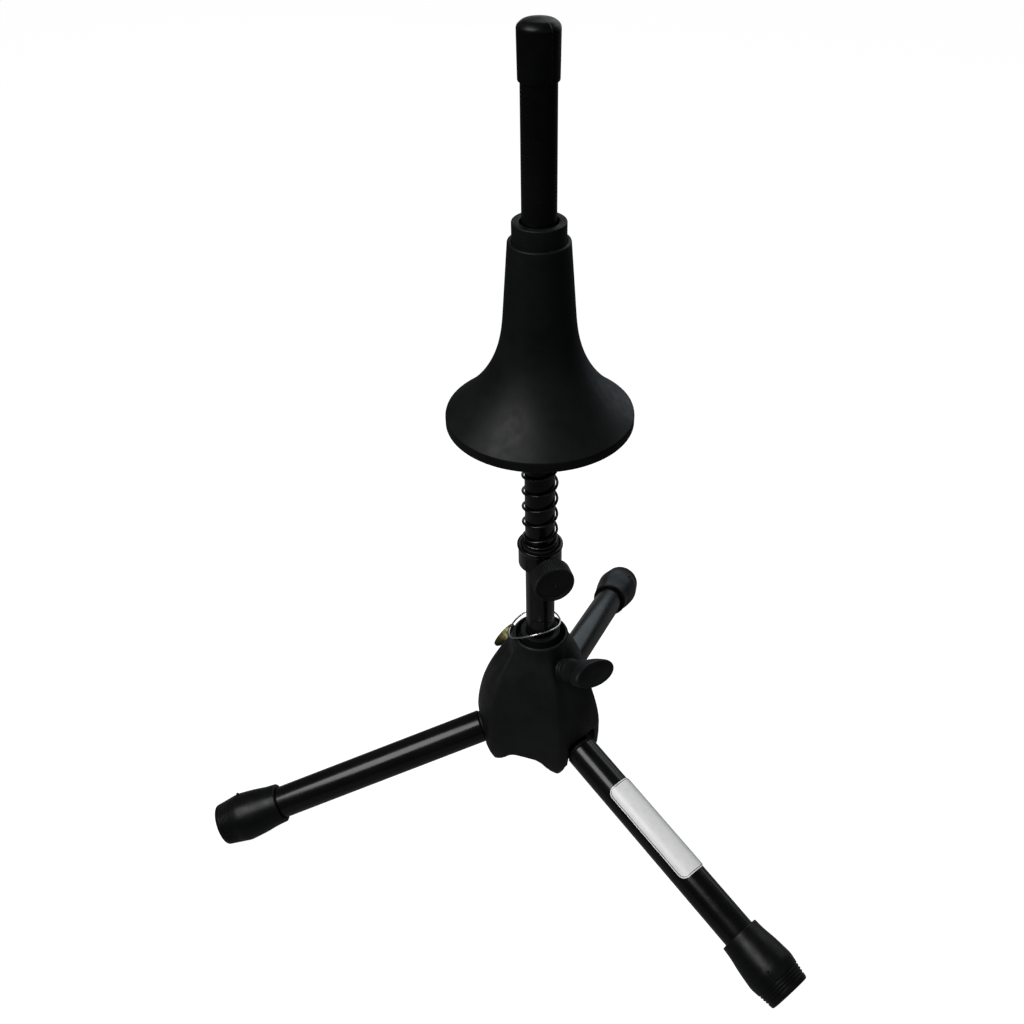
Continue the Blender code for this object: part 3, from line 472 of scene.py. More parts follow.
painted_steel()
# the last colour of each is its paler edge colour, partly wear and partly painted highlight
moulded("hub_plastic", (0.0052, 0.0056, 0.0060), (0.0092, 0.0097, 0.0102), (0.38, 0.54),
        3600.0, 0.00005, (0.034, 0.035, 0.037))
moulded("bell_plastic", (0.0028, 0.0032, 0.0033), (0.0054, 0.0060, 0.0061), (0.42, 0.56),
        4200.0, 0.00004, (0.028, 0.029, 0.030))
moulded("rubber", (0.0024, 0.0027, 0.0027), (0.0046, 0.0050, 0.0050), (0.28, 0.42),
        5200.0, 0.00003, (0.030, 0.030, 0.031))
# same rubber as the feet, made darker for the cap: a painted-shade copy of one material
moulded("cap_rubber_shaded", (0.0010, 0.0011, 0.0011), (0.0024, 0.0026, 0.0026), (0.30, 0.42),
        5200.0, 0.00002, (0.012, 0.012, 0.012))
metal("bright_steel", (0.52, 0.52, 0.53), (0.72, 0.72, 0.73), (0.16, 0.34))
metal("dull_brass", (0.075, 0.066, 0.030), (0.17, 0.150, 0.066), (0.36, 0.56),
      stain=(0.020, 0.019, 0.014), stained=0.7)
metal("spring_wire", (0.030, 0.030, 0.032), (0.060, 0.060, 0.063), (0.20, 0.36), scratch=(1.0, 1.0, 1.0))
label_material("label_film", (0.93, 0.93, 0.93), (0.98, 0.98, 0.98), (0.24, 0.40), metallic=0.0)
# dark silvery line round the sticker: painted shade along its edge
label_material("label_edge_shade", (0.10, 0.10, 0.11), (0.20, 0.20, 0.21), (0.22, 0.36), metallic=0.6)
floor_material()


# ------ mesh helpers

def smooth(mesh, angle=SHARP_ANGLE):
    mesh.shade_smooth()
    mesh.set_sharp_from_angle(angle=math.radians(angle))


def finish_mesh(bm, name, angle=SHARP_ANGLE):
    bmesh.ops.recalc_face_normals(bm, faces=bm.faces)
    mesh = bpy.data.meshes.new(name)
    bm.to_mesh(mesh)
    bm.free()
    smooth(mesh, angle)
    return mesh


def loft(rings, closed_loop=False):
    """Skin a list of rings of points.  A ring of one point is a pole."""
    bm = bmesh.new()
    rows = [[bm.verts.new(point) for point in ring] for ring in rings]
    pairs = list(zip(rows, rows[1:]))
    if closed_loop:
        pairs.append((rows[-1], rows[0]))
    for low, high in pairs:
        count = max(len(low), len(high))
        for i in range(count):
            j = (i + 1) % count
            corners = [low[i % len(low)], low[j % len(low)], high[j % len(high)], high[i % len(high)]]
            unique = list(dict.fromkeys(corners))
            if len(unique) > 2:
                bm.faces.new(unique)
    if not closed_loop:
        for ring in (rows[0], rows[-1]):
            if len(ring) > 2:
                bm.faces.new(ring)
    return bm


def rounded(corners, steps=5):
    """Profile through (radius, height, fillet) corners, each fillet drawn as a smooth arc."""
    points = []
    for i, (radius, height, fillet) in enumerate(corners):
        here = Vector((radius, height))
        before = Vector(corners[i - 1][:2]) - here
        after = Vector(corners[(i + 1) % len(corners)][:2]) - here
        if not fillet or not before.length or not after.length:
            points.append(tuple(here))
            continue
        start = here + before.normalized() * min(fillet, before.length * FILLET_SHARE)
        end = here + after.normalized() * min(fillet, after.length * FILLET_SHARE)
        for step in range(steps + 1):
            t = step / steps
            point = start * (1 - t) ** 2 + here * 2 * t * (1 - t) + end * t ** 2
            points.append((max(point.x, 0.0), point.y))
    return points


def around(count):
    """Angles of a ring's points."""
    return [2 * math.pi * i / count for i in range(count)]


def turned(name, profile, segments=FINE, shape=None):
    """Turn a profile about Z: solid if it starts and ends on the axis, else a closed ring.

    shape(angle, radius, height) may change a ring's radius as it goes round.
    """
    rings = []
    for radius, height in profile:
        if radius < ON_AXIS:
            rings.append([(0, 0, height)])
            continue
        ring = []
        for angle in around(segments):
            here = shape(angle, radius, height) if shape else radius
            ring.append((here * math.cos(angle), here * math.sin(angle), height))
        rings.append(ring)
    solid = profile[0][0] < ON_AXIS and profile[-1][0] < ON_AXIS
    return finish_mesh(loft(rings, closed_loop=not solid), name)


def tube_profile(inner, outer, low, high, edge=0.0004):
    return rounded([(inner, low, edge), (outer, low, edge), (outer, high, edge), (inner, high, edge)])


def rod_profile(radius, low, high):
    return [(0, low), (radius, low), (radius, high), (0, high)]


def swept(name, path, radius, closed):
    """Round wire along a path of points."""
    rings = []
    count = len(path)
    for i, point in enumerate(path):
        ahead = path[(i + 1) % count] if closed else path[min(i + 1, count - 1)]
        behind = path[i - 1] if closed else path[max(i - 1, 0)]
        along = (ahead - behind).normalized()
        side = along.cross(Vector((0, 0, 1))).normalized()
        up = side.cross(along)
        turns = [side * math.cos(angle) + up * math.sin(angle) for angle in around(WIRE_SIDES)]
        rings.append([point + turn * radius for turn in turns])
    return finish_mesh(loft(rings, closed_loop=closed), name)


def add_object(name, data):
    obj = bpy.data.objects.new(name, data)
    bpy.context.scene.collection.objects.link(obj)
    return obj


def place(name, mesh, slot, body, nodes, matrix=ON_POST, mats=None):
    """Make a piece, finish it, and let it ride on a body in place of CAD nodes."""
    obj = add_object(name, mesh)
    finishes = [MATERIALS[mat] for mat in mats or [slot]]
    for index, finish in enumerate(finishes):
        if index < len(mesh.materials):
            mesh.materials[index] = finish
        else:
            mesh.materials.append(finish)
    obj.matrix_world = matrix
    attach(obj, body)
    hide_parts(*nodes)
    return obj


def apply_modifiers(obj):
    graph = bpy.context.evaluated_depsgraph_get()
    mesh = bpy.data.meshes.new_from_object(obj.evaluated_get(graph))
    obj.modifiers.clear()
    obj.data = mesh


def cut(target, tools):
    """Cut or join (mesh, matrix, operation) tools in turn."""
    for mesh, matrix, operation in tools:
        tool = add_object("tool", mesh)
        tool.matrix_world = matrix
        step = target.modifiers.new("step", "BOOLEAN")
        step.operation = operation
        step.solver = "EXACT"
        step.object = tool
        bpy.context.view_layer.update()
        apply_modifiers(target)
        bpy.data.objects.remove(tool, do_unlink=True)


def soften(target, voxel):
    """Remesh an object, relax it, which rounds its edges like a moulding, and thin it out."""
    remesh = target.modifiers.new("remesh", "REMESH")
    remesh.mode = "VOXEL"
    remesh.voxel_size = voxel
    relax = target.modifiers.new("relax", "SMOOTH")
    relax.factor = 0.5
    relax.iterations = RELAX_PASSES
    thin = target.modifiers.new("thin", "DECIMATE")
    thin.ratio = SCULPT_KEEP
    bpy.context.view_layer.update()
    apply_modifiers(target)
    target.data.shade_smooth()


def carved(name, mesh, tools, angle=SHARP_ANGLE, voxel=None):
    """Mesh of a shape after its cuts; with a voxel size it is softened too."""
    obj = add_object(name, mesh)
    cut(obj, tools)
    if voxel is None:
        smooth(obj.data, angle)
    else:
        soften(obj, voxel)
    result = obj.data
    bpy.data.objects.remove(obj, do_unlink=True)
    return result


def point_at(azimuth_deg, radius, height):
    azimuth = math.radians(azimuth_deg)
    return Vector((math.cos(azimuth), math.sin(azimuth), 0)) * radius + Vector((0, 0, height))


def out_along(joint_name, roll=0.0):
    """Frame of a screw: Z runs out along it, and the origin is where it meets the post's axis."""
    joint = JOINTS[joint_name]
    out = Vector(joint["axis"]).normalized()
    spot = Vector(joint["pos_m"])
    level = Vector((out.x, out.y, 0))
    origin = spot - out * (spot - POST).dot(level) / level.length_squared
    across = Vector((0, 0, 1)).cross(level).normalized()
    matrix = Matrix((across, out.cross(across), out)).transposed().to_4x4()
    matrix.translation = origin
    return matrix @ Matrix.Rotation(roll, 4, "Z")


def along_leg(side):
    """Frame on a leg's pivot: X along the open leg, Y along the pin, Z up from the leg."""
    joint = JOINTS[f"leg_{side}_fold"]
    pin = Vector(joint["axis"]).normalized()
    out = Vector((pin.y, -pin.x, 0))
    along = out * math.cos(LEG_SLOPE) - Vector((0, 0, math.sin(LEG_SLOPE)))
    matrix = Matrix((along, pin, along.cross(pin))).transposed().to_4x4()
    matrix.translation = Vector(joint["pos_m"])
    return matrix


PIVOT = Matrix.Translation((PIVOT_RADIUS, 0, PIVOT_HEIGHT))
ALONG_X = Matrix.Rotation(math.pi / 2, 4, "Y")  # turns a piece's Z axis onto +X
ALONG_Y = Matrix.Rotation(-math.pi / 2, 4, "X")  # turns a piece's Z axis onto +Y


# ------ hub

def smoothstep(value):
    value = min(max(value, 0.0), 1.0)
    return value * value * (3 - 2 * value)


def dome_radius(height):
    """Radius at the hub's ridges: a skirt, a dome above the waist, and a short neck on top."""
    if height < HUB_WAIST:
        below = (HUB_WAIST - height) / (HUB_WAIST - HUB_TIP)
        return HUB_WAIST_RADIUS - HUB_SKIRT_DRAW * below ** 4
    rise = (height - HUB_WAIST) / (HUB_TOP - HUB_WAIST)
    dome = HUB_WAIST_RADIUS - HUB_DROP * rise ** HUB_CURVE
    neck = NECK_RADIUS + NECK_TAPER * (HUB_TOP - height)
    return (dome + neck + math.hypot(dome - neck, NECK_BLEND)) / 2


def nose_dip(height):
    """How much a hood is flattened at a height: nothing at the waist and nothing at the neck."""
    grown = smoothstep((height - NOSE_LOW) / NOSE_RISE)
    return NOSE_DIP * grown * smoothstep((NOSE_TOP - height) / NOSE_FALL)


def hub_radius(from_panel_deg, height):
    """Outer radius of the hub: a dome with three flat panels and a hood over each leg."""
    dome = dome_radius(height)
    angle = abs(from_panel_deg)
    if angle >= PANEL_HALF_ANGLE:
        return dome - nose_dip(height) * smoothstep((angle - PANEL_HALF_ANGLE) / NOSE_WIDTH)
    flat = dome * math.cos(math.radians(PANEL_HALF_ANGLE)) / math.cos(math.radians(angle))
    flat -= PANEL_SAG * math.cos(math.pi / 2 * angle / PANEL_HALF_ANGLE)
    return dome + (flat - dome) * smoothstep((HUB_TOP - height) / PANEL_FADE)


def hub_edge(from_panel_deg):
    """Height of the hub's lower edge: an arch under each panel and a rounded tip at each ridge."""
    angle = abs(from_panel_deg)
    toward_tip = smoothstep((angle - ARCH_HALF_ANGLE) / (PANEL_HALF_ANGLE - ARCH_HALF_ANGLE))
    past_tip = min(max(angle - TIP_END, 0.0), TIP_ROUND) / TIP_ROUND
    return HUB_ARCH + (HUB_TIP - HUB_ARCH) * toward_tip + TIP_LIFT * past_tip ** 2


def hub_shell():
    """Closed outer shape of the hub, with a flat floor inside a shallow cone."""
    angles = [360 / HUB_COLUMNS * i for i in range(HUB_COLUMNS)]
    rings = [[point_at(a, SOCKET_RADIUS, HUB_FLOOR) for a in angles]]
    for row in range(HUB_ROWS + 1):
        ring = []
        for azimuth in angles:
            from_panel = (azimuth + 30) % 120 - 60
            edge = hub_edge(from_panel)
            height = edge + (HUB_TOP - HUB_EDGE - edge) * (row / HUB_ROWS)
            ring.append(point_at(azimuth, hub_radius(from_panel, height), height))
        rings.append(ring)
    rings.append([point_at(a, NECK_RADIUS - HUB_EDGE / 2, HUB_TOP) for a in angles])
    return finish_mesh(loft(rings), "hub_shell")


def hub_pocket():
    """Core between two leg slots, open below; local X points at the middle of the panel."""
    between = math.radians(60)
    ridge = math.radians(PANEL_HALF_ANGLE)
    corner = CHEEK_OUTER / math.sin(between)
    rings = []
    for height in POCKET_LEVELS:
        face = dome_radius(height) * math.cos(ridge) - PANEL_SAG - HUB_WALL
        half = face * math.tan(ridge) * POCKET_WIDTH
        outer_half = half * POCKET_DRAFT
        cheek = min(corner + half / math.tan(between), face - HUB_WALL / 2)
        rings.append([(corner + CHEEK_WALL, 0, height), (cheek, -half, height), (face, -outer_half, height),
                      (face, outer_half, height), (cheek, half, height)])
    return finish_mesh(loft(rings), "hub_pocket")


def slot_outline():
    """Outline across a leg slot, (across, height), with rounded upper corners."""
    corner_steps = 6
    points = [(-SLOT_HALF_WIDTH, SLOT_BELOW), (SLOT_HALF_WIDTH, SLOT_BELOW)]
    for side, start in ((1, 0), (-1, 90)):
        for i in range(corner_steps + 1):
            angle = math.radians(start + 90 * i / corner_steps)
            across = side * (SLOT_HALF_WIDTH - SLOT_CORNER) + SLOT_CORNER * math.cos(angle)
            points.append((across, SLOT_CEILING - SLOT_CORNER + SLOT_CORNER * math.sin(angle)))
    return points


def leg_slot():
    rings = [[(x, across, height) for across, height in slot_outline()] for x in (SLOT_INNER, SLOT_OUTER)]
    return finish_mesh(loft(rings), "leg_slot")


def from_post(joint_name):
    """A screw's frame, counted from the post's axis as in a mesh that is turned about it."""
    return Matrix.Translation(-POST) @ out_along(joint_name)


def rod_tool(joint_name, radius, low, high, segments=32, operation="DIFFERENCE"):
    """Rod along a screw that cuts, or joins, a piece turned about the post's axis."""
    return turned("rod", rod_profile(radius, low, high), segments), from_post(joint_name), operation


def socket_cutter():
    """Bore for the sleeve, the recess of the mouth above it and the drain below."""
    floor = span("post_tube")[0] - GAP
    step = HUB_TOP - MOUTH_DEPTH
    above = HUB_TOP + MOUTH_ABOVE
    profile = [(0, DRAIN_BELOW), (DRAIN_RADIUS, DRAIN_BELOW), (DRAIN_RADIUS, floor), (SOCKET_RADIUS, floor),
               (SOCKET_RADIUS, step), (MOUTH_RADIUS, step + MOUTH_EDGE), (MOUTH_RADIUS, above), (0, above)]
    return turned("socket", profile)


def screw_hole_cutter():
    """Hole for a stud, stepped out to the nut."""
    shoulder = NUT_START - GAP
    wide = NUT_RADIUS + GAP
    profile = [(0, HUB_HOLE_START), (STUD_HOLE, HUB_HOLE_START), (STUD_HOLE, shoulder), (wide, shoulder),
               (wide, HUB_HOLE_END), (0, HUB_HOLE_END)]
    return turned("screw_hole", profile, segments=48)


def build_hub():
    tools = []
    for azimuth in LEG_AZIMUTHS.values():
        turn = Matrix.Rotation(math.radians(azimuth), 4, "Z")
        opposite = Matrix.Rotation(math.radians(azimuth + 180), 4, "Z")
        pin_hole = rod_profile(PIN_RADIUS + GAP, -PIN_HOLE_HALF, PIN_HOLE_HALF)
        tools.append((leg_slot(), turn, "DIFFERENCE"))
        tools.append((hub_pocket(), opposite, "DIFFERENCE"))
        tools.append((turned("pin_hole", pin_hole, segments=32), turn @ PIVOT @ ALONG_Y, "DIFFERENCE"))
    root = SOCKET_RADIUS + BOSS_ROOT
    tools += [rod_tool(wing["joint"], BOSS_RADIUS, root, wing["surface"], 64, "UNION") for wing in WINGS]
    tools.append((socket_cutter(), Matrix(), "DIFFERENCE"))
    tools += [(screw_hole_cutter(), from_post(wing["joint"]), "DIFFERENCE") for wing in WINGS]
    mesh = carved("hub_housing_moulding", hub_shell(), tools, voxel=HUB_VOXEL)
    place("hub_housing_moulding", mesh, "hub_plastic", "hub", ["hub_housing"])


def build_socket_sleeve():
    profile = tube_profile(SLEEVE_BORE, outer_radius("socket_sleeve"), *span("socket_sleeve"))
    tools = [rod_tool(wing["joint"], STUD_HOLE, HOLE_START, SLEEVE_HOLE_END) for wing in WINGS]
    mesh = carved("socket_sleeve", turned("socket_sleeve", profile), tools)
    place("socket_sleeve_ring", mesh, "hub_plastic", "hub", ["socket_sleeve"])


def loop_point(angle):
    height = LOOP_HEIGHT + LOOP_TILT * math.cos(angle - math.radians(LOOP_TILT_AZIMUTH))
    height -= LOOP_BEND * math.cos(2 * (angle - math.radians(LOOP_BEND_AZIMUTH)))
    x = LOOP_CENTRE[0] + LOOP_RADIUS * math.cos(angle)
    y = LOOP_CENTRE[1] + LOOP_RADIUS * math.sin(angle)
    return Vector((x, y, height))


def build_tag_loop():
    path = [loop_point(angle) for angle in around(LOOP_STEPS)]
    wire = swept("tag_loop_wire", path, LOOP_WIRE, closed=True)
    place("tag_loop_wire", wire, "bright_steel", "hub", ["tag_loop"])


def build_hub_fittings():
    """Pins with domed ends and the screws' nuts, all held in the hub."""
    half = CHEEK_OUTER - PIN_SHORT
    sides = [(PIN_RADIUS, -half, PIN_DOME), (PIN_RADIUS, half, PIN_DOME)]
    pin = rounded([(0, -half, 0), *sides, (0, half, 0)])
    for side, azimuth in LEG_AZIMUTHS.items():
        turn = Matrix.Rotation(math.radians(azimuth), 4, "Z")
        place(f"pivot_pin_{side}_domed", turned("pin", pin, segments=48), "bright_steel", "hub",
              [f"pivot_pin_{side}"], ON_POST @ turn @ PIVOT @ ALONG_Y)
    for name, wing in zip(("front", "rear"), WINGS):
        nut = tube_profile(STUD_RADIUS + GAP, NUT_RADIUS, NUT_START, wing["surface"] - WING_GAP)
        place(f"clamp_nut_{name}_insert", turned("nut", nut, segments=64), "dull_brass", "hub",
              [f"clamp_nut_{name}"], out_along(wing["joint"]))


# ------ screws

def thread_shape(angle, radius, height):
    """V thread that runs up a rod from its cone."""
    if radius <= STUD_RADIUS * STUD_CONE:
        return radius
    phase = (height / STUD_PITCH - angle / (2 * math.pi)) % 1.0
    return radius - THREAD_DEPTH * abs(2 * phase - 1)


def threaded_rod(name, low, high):
    """Rod with a thread along it and a cone point that presses on the post."""
    threaded = high - low - STUD_POINT
    steps = int(threaded / (STUD_PITCH / THREAD_STEPS))
    profile = [(0, low), (STUD_RADIUS * STUD_TIP, low), (STUD_RADIUS * STUD_CONE, low + STUD_CONE_LENGTH)]
    profile += [(STUD_RADIUS, low + STUD_POINT + threaded * i / steps) for i in range(steps + 1)]
    profile.append((0, high))
    return turned(name, profile, 32, thread_shape)


def wing_ring(wing, part):
    """Ring of a wing knob: a ribbed ring and a neck that flares into an oval bar."""
    base = wing["base_radius"]
    stepped = smoothstep((part - WING_RING) / WING_STEP)
    waist = base + (wing["neck_radius"] - base) * stepped
    grow = smoothstep((part - wing["flare"]) / (WING_BAR - wing["flare"]))
    half_x = waist + (wing["half_span"] - waist) * grow
    half_y = waist + (wing["half_thick"] - waist) * grow
    rib_depth = WING_RIB_DEPTH * (1 - stepped)
    ring = []
    for angle in around(WING_SEGMENTS):
        rib = 1 - rib_depth * (0.5 + 0.5 * math.cos(wing["ribs"] * angle))
        ring.append((half_x * rib * math.cos(angle), half_y * rib * math.sin(angle)))
    return ring


def scaled(ring, scale, height):
    return [(x * scale, y * scale, height) for x, y in ring]


def wing_knob(name, wing):
    """Wing knob with a rounded rim and a dished end face."""
    start = wing["surface"] + WING_GAP
    length = wing["length"]
    hole = STUD_RADIUS + GAP
    bottom = start + length * WING_HOLE
    circle = [(math.cos(angle), math.sin(angle)) for angle in around(WING_SEGMENTS)]
    rings = [[(0, 0, bottom)], scaled(circle, hole, bottom), scaled(circle, hole, start)]
    rings.append(scaled(wing_ring(wing, 0.0), WING_BASE_INSET, start))
    side_steps = 44
    for i in range(side_steps + 1):
        part = WING_BASE + (WING_SHOULDER - WING_BASE) * i / side_steps
        rings.append(scaled(wing_ring(wing, part), 1, start + length * part))
    rim = wing_ring(wing, 1.0)
    rim_steps = 10
    for i in range(1, rim_steps + 1):
        turn = math.pi / 2 * i / rim_steps
        inset = 1 - WING_RIM_INSET * (1 - math.cos(turn))
        part = WING_SHOULDER + (1 - WING_SHOULDER) * math.sin(turn)
        rings.append(scaled(rim, inset, start + length * part))
    for shrink in WING_FACE:
        sunk = wing["notch"] * smoothstep((WING_DISH_EDGE - shrink) / WING_DISH_WIDTH)
        rings.append(scaled(rim, shrink, start + length - sunk))
    rings.append([(0, 0, start + length - wing["notch"])])
    return finish_mesh(loft(rings), name, BLUNT_ANGLE)


def build_wing(name, wing, slot):
    joint = wing["joint"]
    knob = wing_knob(f"{name}_knob", wing)
    place(f"{name}_knob_moulding", knob, slot, name, [f"{name}_knob"], out_along(joint, wing["roll"]))
    tilt = math.asin(JOINTS[joint]["axis"][2])
    reach = outer_radius("post_tube") + 2 * GAP + STUD_RADIUS * STUD_TIP * math.sin(tilt)
    end = wing["surface"] + WING_GAP + wing["length"] * WING_HOLE - GAP
    stud = threaded_rod("stud", reach / math.cos(tilt), end)
    place(f"{name}_stud_threaded", stud, "bright_steel", name, [f"{name}_stud"], out_along(joint))


def thumb_shape(angle, radius, height):
    """Straight knurl round the thumbscrew's edge."""
    if radius < THUMB_RADIUS * THUMB_KNURLED:
        return radius
    return radius - THUMB_RIB_DEPTH * (0.5 - 0.5 * math.cos(THUMB_RIBS * angle)) ** THUMB_RIB_CURVE


def build_thumbscrew():
    hole = STUD_RADIUS + GAP
    depth = THUMB_BACK + THUMB_HOLE
    dish = THUMB_FACE - THUMB_DISH
    pit = dish - THUMB_PIT_DEPTH
    corners = [(0, depth, 0), (hole, depth, 0), (hole, THUMB_BACK, 0.0003),
               (THUMB_RADIUS, THUMB_BACK, 0.0008), (THUMB_RADIUS, THUMB_FACE, 0.0009),
               (THUMB_RADIUS - THUMB_RIM, THUMB_FACE, 0.0004),
               (THUMB_RADIUS - THUMB_RIM_END, dish, 0.0005), (THUMB_PIT, dish + THUMB_CROWN, 0.0003),
               (THUMB_PIT_FLOOR, pit, 0.0002), (0, pit, 0)]
    knob = turned("thumbscrew_knob", rounded(corners), THUMB_RIBS * THUMB_RIB_STEPS, thumb_shape)
    spot = out_along("thumbscrew_turn")
    place("thumbscrew_knob_knurled", knob, "hub_plastic", "thumbscrew", ["thumbscrew_knob"], spot)
    stud = threaded_rod("stud", outer_radius("post_tube") + 2 * GAP, depth - GAP)
    place("thumbscrew_stud_threaded", stud, "bright_steel", "thumbscrew", ["thumbscrew_stud"], spot)


# ------ collar, bell support, spring

def build_collar():
    """Height collar with the thumbscrew's boss, and the seat ring in it, both holed for the stud."""
    screw = "thumbscrew_turn"
    boss = rod_tool(screw, COLLAR_BOSS_RADIUS, COLLAR_BORE + BOSS_ROOT, THUMB_BACK - THUMB_GAP, 64, "UNION")
    hole = rod_tool(screw, STUD_RADIUS + GAP, HOLE_START, THUMB_BACK + HOLE_PAST)
    low, high = span("height_collar")
    rim_low = high - COLLAR_RIM_HEIGHT
    lip_top = low + COLLAR_FLOOR
    corners = [(COLLAR_LIP, low, 0.0002), (COLLAR_RADIUS, low, 0.0006),
               (COLLAR_RADIUS, rim_low - COLLAR_RIM_STEP, 0.0008), (COLLAR_RIM_RADIUS, rim_low, 0.0005),
               (COLLAR_RIM_RADIUS, high, 0.0008), (COLLAR_BORE, high, 0.0007),
               (COLLAR_BORE, lip_top, 0.0002), (COLLAR_LIP, lip_top, 0.0002)]
    collar = carved("height_collar", turned("height_collar", rounded(corners)), [boss, hole], BLUNT_ANGLE)
    place("height_collar_rolled", collar, "painted_steel", "collar", ["height_collar"])

    profile = tube_profile(SLEEVE_BORE, outer_radius("spring_seat"), *span("spring_seat"))
    seat = carved("spring_seat", turned("spring_seat", profile), [hole], BLUNT_ANGLE)
    place("spring_seat_ring", seat, "hub_plastic", "collar", ["spring_seat"])


def bell_sizes():
    """Top, rim top, rim bottom and rim radius of the bell support."""
    low, high = span("bell_support")
    return high, low + BELL_RIM_THICKNESS, low, outer_radius("bell_support")


def bell_radius(height):
    """Outer radius of the bell support: a slight taper that runs on into a flare."""
    top, rim_top, _, rim_radius = bell_sizes()
    taper = (BELL_TAPER_RADIUS - BELL_TOP_RADIUS) / (top - BELL_TAPER_END)
    straight = BELL_TOP_RADIUS + taper * (top - height)
    if height >= BELL_TAPER_END:
        return straight
    reach = (BELL_TAPER_END - height) / (BELL_TAPER_END - rim_top)
    full = rim_radius - BELL_TOP_RADIUS - taper * (top - rim_top)
    return straight + full * reach ** BELL_FLARE


def build_bell():
    top, rim_top, rim_bottom, rim_radius = bell_sizes()
    guide_radius = outer_radius("guide_sleeve")
    inside = guide_radius + GAP
    taper = [BELL_TAPER_END + TAPER_ROW * row for row in range(TAPER_ROWS, 0, -1)]
    drop = rim_top + FLARE_END - BELL_TAPER_END
    flare = [BELL_TAPER_END + drop * (i / FLARE_ROWS) for i in range(FLARE_ROWS + 1)]
    corners = [(inside, top, 0.0002), (BELL_TOP_RADIUS, top, 0.0008)]
    corners += [(bell_radius(z), z, 0.0) for z in taper + flare]
    corners += [(rim_radius, rim_top - BELL_RIM_ROUND, BELL_RIM_ROUND), (rim_radius, rim_bottom, 0.0009),
                (rim_radius - BELL_WALL, rim_bottom, 0.0007)]
    for z in reversed(flare):
        radius = bell_radius(z) - BELL_WALL
        if radius > inside + BELL_STEP:
            corners.append((radius, z - BELL_WALL, 0.0))
    step_height = corners[-1][1] + BELL_STEP_RISE
    corners += [(inside + BELL_STEP, step_height, 0.0008), (inside, step_height + BELL_STEP, 0.0003)]
    bell = turned("bell_support", rounded(corners, steps=6), segments=192)
    place("bell_support_moulding", bell, "bell_plastic", "bell", ["bell_support"])
    low, high = span("guide_sleeve")
    guide = rounded([(GUIDE_BORE, low, 0.0003), (guide_radius, low, 0.0004), (guide_radius, high, 0.0007),
                     (GUIDE_BORE, high, 0.0006)])
    place("guide_sleeve_turned", turned("guide_sleeve", guide), "bell_plastic", "bell", ["guide_sleeve"])


def build_spring():
    """Compression spring with one close turn at each end."""
    low, high = span("spring")
    low += SPRING_WIRE / 2
    high -= SPRING_WIRE / 2
    pitch = (high - low - 2 * SPRING_END_PITCH) / (SPRING_TURNS - 2)
    path = []
    for i in range(int(SPRING_TURNS * SPRING_STEPS) + 1):
        turn = i / SPRING_STEPS
        height = low + SPRING_END_PITCH * min(turn, 1.0)
        height += pitch * min(max(turn - 1, 0), SPRING_TURNS - 2)
        height += SPRING_END_PITCH * max(turn - SPRING_TURNS + 1, 0)
        path.append(point_at(SPRING_START + 360 * turn, SPRING_RADIUS, height))
    wire = swept("spring", path, SPRING_WIRE / 2, closed=False)
    spring = place("spring_coil", wire, "spring_wire", "collar", ["spring"])
    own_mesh(spring)


# ------ post

def cap_seam(angle, radius, height):
    """Mould line down the cap's front right."""
    away = (math.degrees(angle) - SEAM_AZIMUTH + 180) % 360 - 180
    return radius + SEAM_RISE * math.exp(-(away / SEAM_WIDTH) ** 2)


def build_post():
    post_bottom, post_top = span("post_tube")
    radius = outer_radius("post_tube")
    tube = turned("post_tube", tube_profile(radius - TUBE_WALL, radius, post_bottom, post_top))
    place("post_tube_painted", tube, "painted_steel", "post", ["post_tube"])

    bottom, top = span("post_cap")
    wide = outer_radius("post_cap")
    narrow = wide - CAP_DRAFT
    inside = radius + GAP
    corners = [(inside, bottom, 0.0002), (narrow, bottom, 0.0009),
               (narrow + CAP_DRAFT / 2, bottom + CAP_MIDDLE, 0.004), (wide, top - CAP_SHOULDER, 0.0012),
               (wide - CAP_CROWN_INSET, top - CAP_CROWN, 0.0016), (0, top, 0),
               (0, post_top + GAP, 0), (inside, post_top + GAP, 0.0003)]
    cap = turned("post_cap", rounded(corners, steps=7), segments=360, shape=cap_seam)
    # the cap takes the darker, painted-shade copy of the rubber
    place("post_cap_rubber", cap, "rubber", "post", ["post_cap"], mats=["cap_rubber_shaded"])


# ------ legs

def foot_corners():
    """Rubber boot: a taper that swells to a bulge and draws in again, ringed near its end."""
    end_inside = LEG_LENGTH - FOOT_END_WALL + GAP
    recess = LEG_LENGTH - FOOT_RECESS_DEPTH
    corners = [(LEG_RADIUS + GAP, FOOT_START, 0.0002), (FOOT_START_RADIUS, FOOT_START, 0.0006)]
    corners += [(FOOT_START_RADIUS + out, FOOT_START + past, fillet) for past, out, fillet in FOOT_SWELL]
    corners.append((FOOT_BULGE_RADIUS, FOOT_BULGE, 0.0016))
    slope = (FOOT_BULGE_RADIUS - FOOT_END_RADIUS) / (LEG_LENGTH - FOOT_BULGE)
    for groove in range(GROOVES):
        for step, depth in enumerate((0.0, GROOVE_DEPTH, GROOVE_DEPTH, 0.0)):
            past = GROOVE_START + GROOVE_PITCH * groove + GROOVE_STEP * step
            corners.append((FOOT_BULGE_RADIUS - slope * past - depth, FOOT_BULGE + past, 0.0001))
    corners += [(FOOT_END_RADIUS, LEG_LENGTH, 0.0011),
                (FOOT_END_RADIUS * FOOT_RECESS_RIM, LEG_LENGTH, 0.0003),
                (FOOT_END_RADIUS * FOOT_RECESS, recess, 0.0003), (0, recess, 0),
                (0, end_inside, 0), (LEG_RADIUS + GAP, end_inside, 0.0003)]
    return corners


